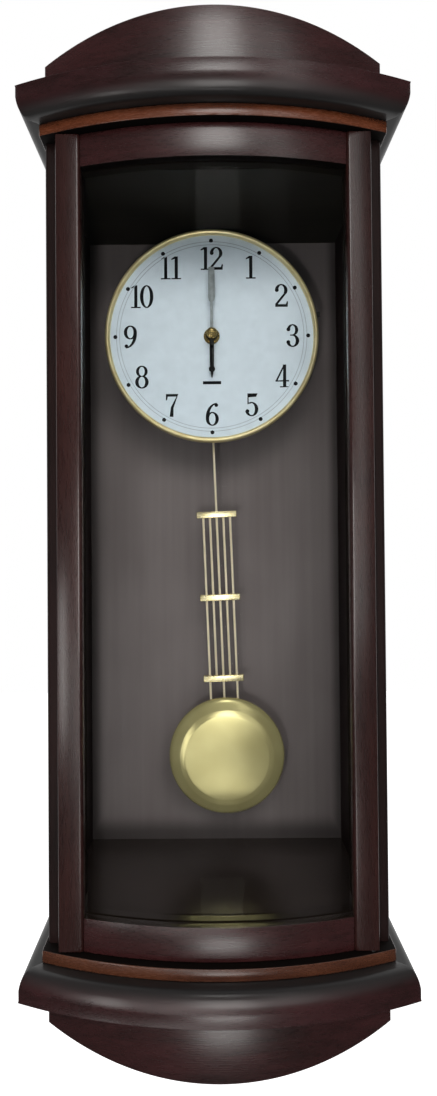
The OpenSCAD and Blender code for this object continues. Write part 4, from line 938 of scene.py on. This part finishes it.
def leant(piece):
    """Leans a plumb piece about the pivot, to the right as seen from the front."""
    opened(piece)
    bpy.ops.transform.rotate(value=LEAN, orient_axis="Y", center_override=at(*PIVOT))
    bpy.ops.object.mode_set(mode="OBJECT")
    low = min(piece.data.vertices, key=lambda v: v.co.z)
    print(piece.name, "has its lowest corner at x =", round(low.co.x * 1000, 1), "mm")
    return piece


# %% Rods, each pair ending inside a bar
BARS = (-83, -154, -223)         # heights of the bars' middles
ROD_GAP = 5.75                   # from one rod to the next
ROD_IN_BAR = 2.65                # a rod passes the bar's middle by this much
ROD_TOP, ROD_FOOT = -14.6, -294
ROD_RADIUS = 1.0


def rod(x, low, high):
    none_selected()
    bpy.ops.mesh.primitive_cylinder_add(vertices=24, radius=mm(ROD_RADIUS), depth=mm(high - low),
                                        location=at(*below(x, 0, (low + high) / 2)))
    piece = bpy.context.object
    bpy.ops.object.transform_apply(location=True, rotation=True, scale=True)
    return smooth(eased(piece, 0.2, 2, 60), 40)


rods = [rod(0, ROD_FOOT, ROD_TOP)]
rods += [rod(side * 2 * ROD_GAP, ROD_FOOT, BARS[0] + ROD_IN_BAR) for side in (-1, 1)]
rods += [rod(side * ROD_GAP, BARS[2] - ROD_IN_BAR, BARS[0] + ROD_IN_BAR) for side in (-1, 1)]
fitted(leant(joined("pendulum_rods", rods)), "pendulum", rod_finish, "brass", "lyre_rods")

# %% Bars
BAR_HALF = (17.25, 2.5, 2.8)


def bar(z):
    wide, deep, tall = BAR_HALF
    piece = block("bar", below(-wide, -deep, z - tall), below(wide, deep, z + tall))
    return smooth(eased(piece, 0.8, 4))


bars = joined("pendulum_bars", [bar(z) for z in BARS])
fitted(leant(bars), "pendulum", bar_finish, "gilt_metal", "lyre_bars")

# %% [markdown]
# The bob is pressed from thin brass: a nearly flat middle, a tight shoulder that throws back one bright arc,
# and a slope down to the rim. A flattened ball has no such shoulder, so the shell is given by its slope at
# each distance from the middle, which is what the light reads. Its section is drawn from the middle outwards
# and back along the inside, and spun a full turn. A flat plate and a clamp bar lie behind.

# %% The bob's slope and height
BOB_RADIUS, BOB_DROP = 49.0, 288
MIDDLE, SHOULDER, FLANK = 34, 40, 47     # the zones end this far from the middle


def bob_slope(r):
    """The slope of the shell in degrees: 3 where the middle ends, 22 after the shoulder, 78 at the rim."""
    if r < MIDDLE:
        return 3.0 * r / MIDDLE
    if r < SHOULDER:
        way = (r - MIDDLE) / (SHOULDER - MIDDLE)
        return 3 + 19 * way * way * (3 - 2 * way)
    if r < FLANK:
        return 22 + (r - SHOULDER) / (FLANK - SHOULDER)
    return 23 + 55 * (r - FLANK) / (BOB_RADIUS - FLANK)


def bob_height(r, step=0.05):
    """How far the shell stands in front of its rim at the distance r from the middle."""
    return sum(math.tan(math.radians(bob_slope(r + i * step))) * step
               for i in range(int((BOB_RADIUS - r) / step)))


print("the bob's middle stands", round(bob_height(0), 2), "mm in front of its rim")

# %% Bob
RADII = [0, 8, 16, 24, 30, 33, 34, 35, 36, 36.7, 37.4, 38.2, 39, 40, 42, 43.5, 45, 46.3, 47.1, 47.6, 48.1,
         48.5, 48.8]
SHEET = 0.9                      # thickness of the pressed brass
RIM_WIDE, LIFT = 2.4, 0.1        # the rim's flat edge, and the step from it to the shell
PLATE_RADIUS, PLATE_Y = 48.6, -1.6
BACK_Y, RIM_AHEAD = -1.15, 0.92  # rear of the plate, and how far the rim lies in front of that
CLAMP_HALF, CLAMP_BACK = 4, 3


def bob():
    section = [(r, LIFT + bob_height(r)) for r in RADII] + [(BOB_RADIUS, 0.0), (BOB_RADIUS - RIM_WIDE, 0.0)]
    section += [(r, max(0.0, bob_height(r) - SHEET)) for r in reversed(RADII) if r < 46]
    rim_y, centre = PIVOT[1] + BACK_Y - RIM_AHEAD, PIVOT[2] - BOB_DROP
    shell = drawn("bob_shell", [at(PIVOT[0] + r, rim_y - d, centre) for r, d in section])
    lathe(shell, 160, PIVOT[0], centre)
    plate = disc(PLATE_RADIUS, SHEET, 160, *below(0, PLATE_Y, -BOB_DROP))
    bpy.ops.object.transform_apply(location=True, rotation=True, scale=True)
    wide = BAR_HALF[0]
    clamp = block("clamp", below(-wide, BACK_Y, -BOB_DROP - CLAMP_HALF),
                  below(wide, CLAMP_BACK, -BOB_DROP + CLAMP_HALF))
    return leant(joined("pendulum_bob", [smooth(shell, 40), eased(plate, 0.2, 2), eased(clamp, 0.5)]))


fitted(bob(), "pendulum", bob_finish, "gilt_metal", "bob")

# %% [markdown]
# ## Finishes for the pieces that stay as the frame has them
# Flat boards, screws, the movement and its housing are right as they are. Each gets the finish of its own
# material, by assigning to its slots.

# %% Dress the CAD nodes that stay
dress = {
    side_panel_shaded: ["side_panel_left", "side_panel_right"],
    ledge_finish: ["glass_beads"],
    ceiling_finish: ["top_board"],
    board_finish: ["bottom_board"],
    panel_finish: ["back_board"],
    raw_finish: ["glue_blocks", "case_dowels", "cleats", "door_dowels"],
    zinc_finish: ["case_screws", "keyhole_plate", "keyhole_screws", "strike_plate", "pivot_pins",
                  "movement_screws", "battery_contacts", "pendulum_pin"],
    felt_finish: ["felt_pads"],
    abs_finish: ["magnet_catch", "movement_shell", "movement_cover", "battery_tray", "battery_cover",
                 "volume_knob", "chime_lever", "chime_switch"],
    plain_brass: ["pivot_bushes", "setting_wheel", "hour_wheel"],
    cap_finish: ["minute_arbor", "dial_nut"],
    dull_metal: ["movement_plate", "speaker", "volume_pot"],
    resist: ["circuit_board"],
    chip_finish: ["circuit_parts"],
    wrap_finish: ["cells"],
    copper_finish: ["drive_coil"],
    grey_finish: ["hanger"],
}
dressed = [(nodes[name], finish) for finish, names in dress.items() for name in names]
for piece, finish in dressed:
    if not piece.material_slots:
        piece.data.materials.append(finish)
    for place in piece.material_slots:
        place.material = finish
bare = [name for name, piece in nodes.items()
        if not piece.hide_render and not any(name in names for names in dress.values())]
print("dressed", len(dressed), "CAD nodes, left bare:", bare)

# %% [markdown]
# ## Camera
# The photograph was taken from just over half a metre, a little below the middle, with the camera turned by
# a fifth of a degree and tipped up by less than one. The lens is wide, so the crown and the apron lean out.
# Its focal length and shift are kept in the photograph's own pixels, in which they were measured.

# %% Camera
PHOTO_TALL, FOCAL, SHIFT = 1096, 600, (10, -13.5)
EYE = at(-3.79, -563.5, -2.43)
yaw, pitch, roll = [math.radians(a) for a in (-0.191, 0.721, -0.433)]
ahead = Vector((math.sin(yaw) * math.cos(pitch), math.cos(yaw) * math.cos(pitch), math.sin(pitch)))
level = Vector((math.cos(yaw), -math.sin(yaw), 0))
over = level.cross(ahead)
right = math.cos(roll) * level + math.sin(roll) * over
up = -math.sin(roll) * level + math.cos(roll) * over
lens = bpy.data.cameras.new("portrait lens")
lens.sensor_fit = "VERTICAL"
lens.sensor_height = 24
lens.lens = lens.sensor_height * FOCAL / PHOTO_TALL
lens.shift_x, lens.shift_y = [pixels / PHOTO_TALL for pixels in SHIFT]
lens.clip_start = 0.01
camera = bpy.data.objects.new("portrait camera", lens)
bpy.context.scene.collection.objects.link(camera)
camera.matrix_world = Matrix([(right[i], up[i], -ahead[i], EYE[i]) for i in range(3)] + [(0, 0, 0, 1)])
bpy.context.scene.camera = camera
print("lens of", round(lens.lens, 2), "mm on a sensor", lens.sensor_height, "mm tall")

# %% [markdown]
# ## Light and floor
# One large soft lamp above and to the right of the camera, as a window would be, and a small one close to the
# lens. Both only light things: nothing mirrors them. What the lacquer and the brass mirror is a row of
# upright cards beside the camera. Each stands where one part of the clock looks when the camera looks at it:
# the pediment and the top rail, the bars, the bob, the low rail, and the two flanks.

# %% Lamps and cards
LENS_WHITE, CARD_WHITE = (1.0, 1.0, 1.0), (1.0, 0.985, 0.96)
WINDOW_WHITE = (1.0, 0.98, 0.96)
CARD_Y = -1.05


def lamp(name, place, aim, size, power, colour, seen_in_diffuse=True, seen_in_gloss=True):
    light = bpy.data.lights.new(name, "AREA")
    light.shape = "RECTANGLE"
    light.size, light.size_y = size
    light.energy = power
    light.color = colour
    holder = bpy.data.objects.new(name, light)
    bpy.context.scene.collection.objects.link(holder)
    holder.location = place
    holder.rotation_euler = (Vector(aim) - Vector(place)).to_track_quat("-Z", "Y").to_euler()
    holder.visible_diffuse = seen_in_diffuse
    holder.visible_glossy = holder.visible_transmission = seen_in_gloss


def gloss_card(name, x, z, wide, tall, radiance):
    """A pale card beside the camera that only the polish and the metal show."""
    power = radiance * math.pi * wide * tall
    lamp(name, (x, CARD_Y, z), (x, 0, z), (wide, tall), power, CARD_WHITE, seen_in_diffuse=False)
    print(name, round(power, 2), "W")


lamp("window", (0.12, -1.8, 0.68), (0, -0.05, -0.2), (1.4, 0.75), 24, WINDOW_WHITE, seen_in_gloss=False)
lamp("lens lamp", (-0.06, -0.57, -0.35), (0, -0.05, -0.3), (0.05, 0.05), 0.95, LENS_WHITE,
     seen_in_gloss=False)
gloss_card("high card", 0.03, 0.8, 0.24, 0.74, 4.4)
gloss_card("middle card", 0.03, -0.34, 0.24, 0.46, 5.0)
gloss_card("low card", 0.03, -1.15, 0.24, 0.3, 3.6)
gloss_card("bob card", -0.12, -0.75, 0.42, 0.4, 0.9)
gloss_card("left card", -0.52, -0.62, 0.14, 0.44, 4.4)
gloss_card("right card", 0.36, 0.3, 0.18, 1.7, 0.9)

# %% [markdown]
# The world fills the rest with soft light. The white page behind the clock is the world as the camera, the
# glass and the polish see it; in front of the clock it is nearly black to them, so that the case mirrors only
# the cards. The floor is far below and pale, and its far half is as white as the page.

# %% World
IN_FRONT, BEHIND = 0.04, 1.0     # brightness of the page before and behind the clock


def eye_rays(tree):
    """The light path, and a value that is 1 for what the camera sees directly or through the glass."""
    ray = put(tree, "LightPath")
    return ray, put(tree, "Math", {0: ray.outputs["Is Camera Ray"], 1: ray.outputs["Is Transmission Ray"]},
                    operation="MAXIMUM")


world = bpy.data.worlds.new("pale studio")
bpy.context.scene.world = world
world.use_nodes = True
tree = world.node_tree
tree.nodes.clear()
ray, eye = eye_rays(tree)
seen = put(tree, "Math", {0: eye, 1: ray.outputs["Is Glossy Ray"]}, operation="MAXIMUM")
way = put(tree, "TexCoord")
parts = put(tree, "SeparateXYZ", {0: way.outputs["Generated"]})
wall = put(tree, "MapRange", {0: parts.outputs["Y"], 1: -0.3, 2: 0.2, 3: IN_FRONT, 4: BEHIND})
fill = put(tree, "Background", {"Color": tone("#ffffff"), "Strength": 0.4})
page = put(tree, "Background", {"Color": tone("#ffffff"), "Strength": wall})
either = put(tree, "MixShader", {0: seen, 1: fill, 2: page})
put(tree, "OutputWorld", {"Surface": either})
print("world nodes:", len(tree.nodes))

# %% Floor
FLOOR_SIZE, FLOOR_Z = 12, -1.9
none_selected()
bpy.ops.mesh.primitive_plane_add(size=FLOOR_SIZE, location=(0, 0, FLOOR_Z))
floor = bpy.context.object
floor.name = "pale floor"
pale, tree = blank("pale floor paint")
ray, eye = eye_rays(tree)
spot = put(tree, "TexCoord")
parts = put(tree, "SeparateXYZ", {0: spot.outputs["Object"]})
near_far = put(tree, "MapRange", {0: parts.outputs["Y"], 1: -0.5, 2: 0.5, 3: IN_FRONT, 4: BEHIND})
paint = put(tree, "BsdfDiffuse", {"Color": tone("#e0e0e0")})
glow = put(tree, "Emission", {"Color": tone("#ffffff"), "Strength": near_far})
summed = put(tree, "AddShader", {0: paint, 1: glow})
plain = put(tree, "MixShader", {0: eye, 1: paint, 2: summed})
mixed = put(tree, "MixShader", {0: ray.outputs["Is Glossy Ray"], 1: plain, 2: glow})
shown(pale, tree, mixed)
floor.data.materials.append(pale)
print("floor", FLOOR_SIZE, "m wide at z =", FLOOR_Z)

# %% [markdown]
# ## Closing
# The colours are shown as they come from the render, without the softening of a film look.

bpy.context.scene.view_settings.view_transform = "Standard"
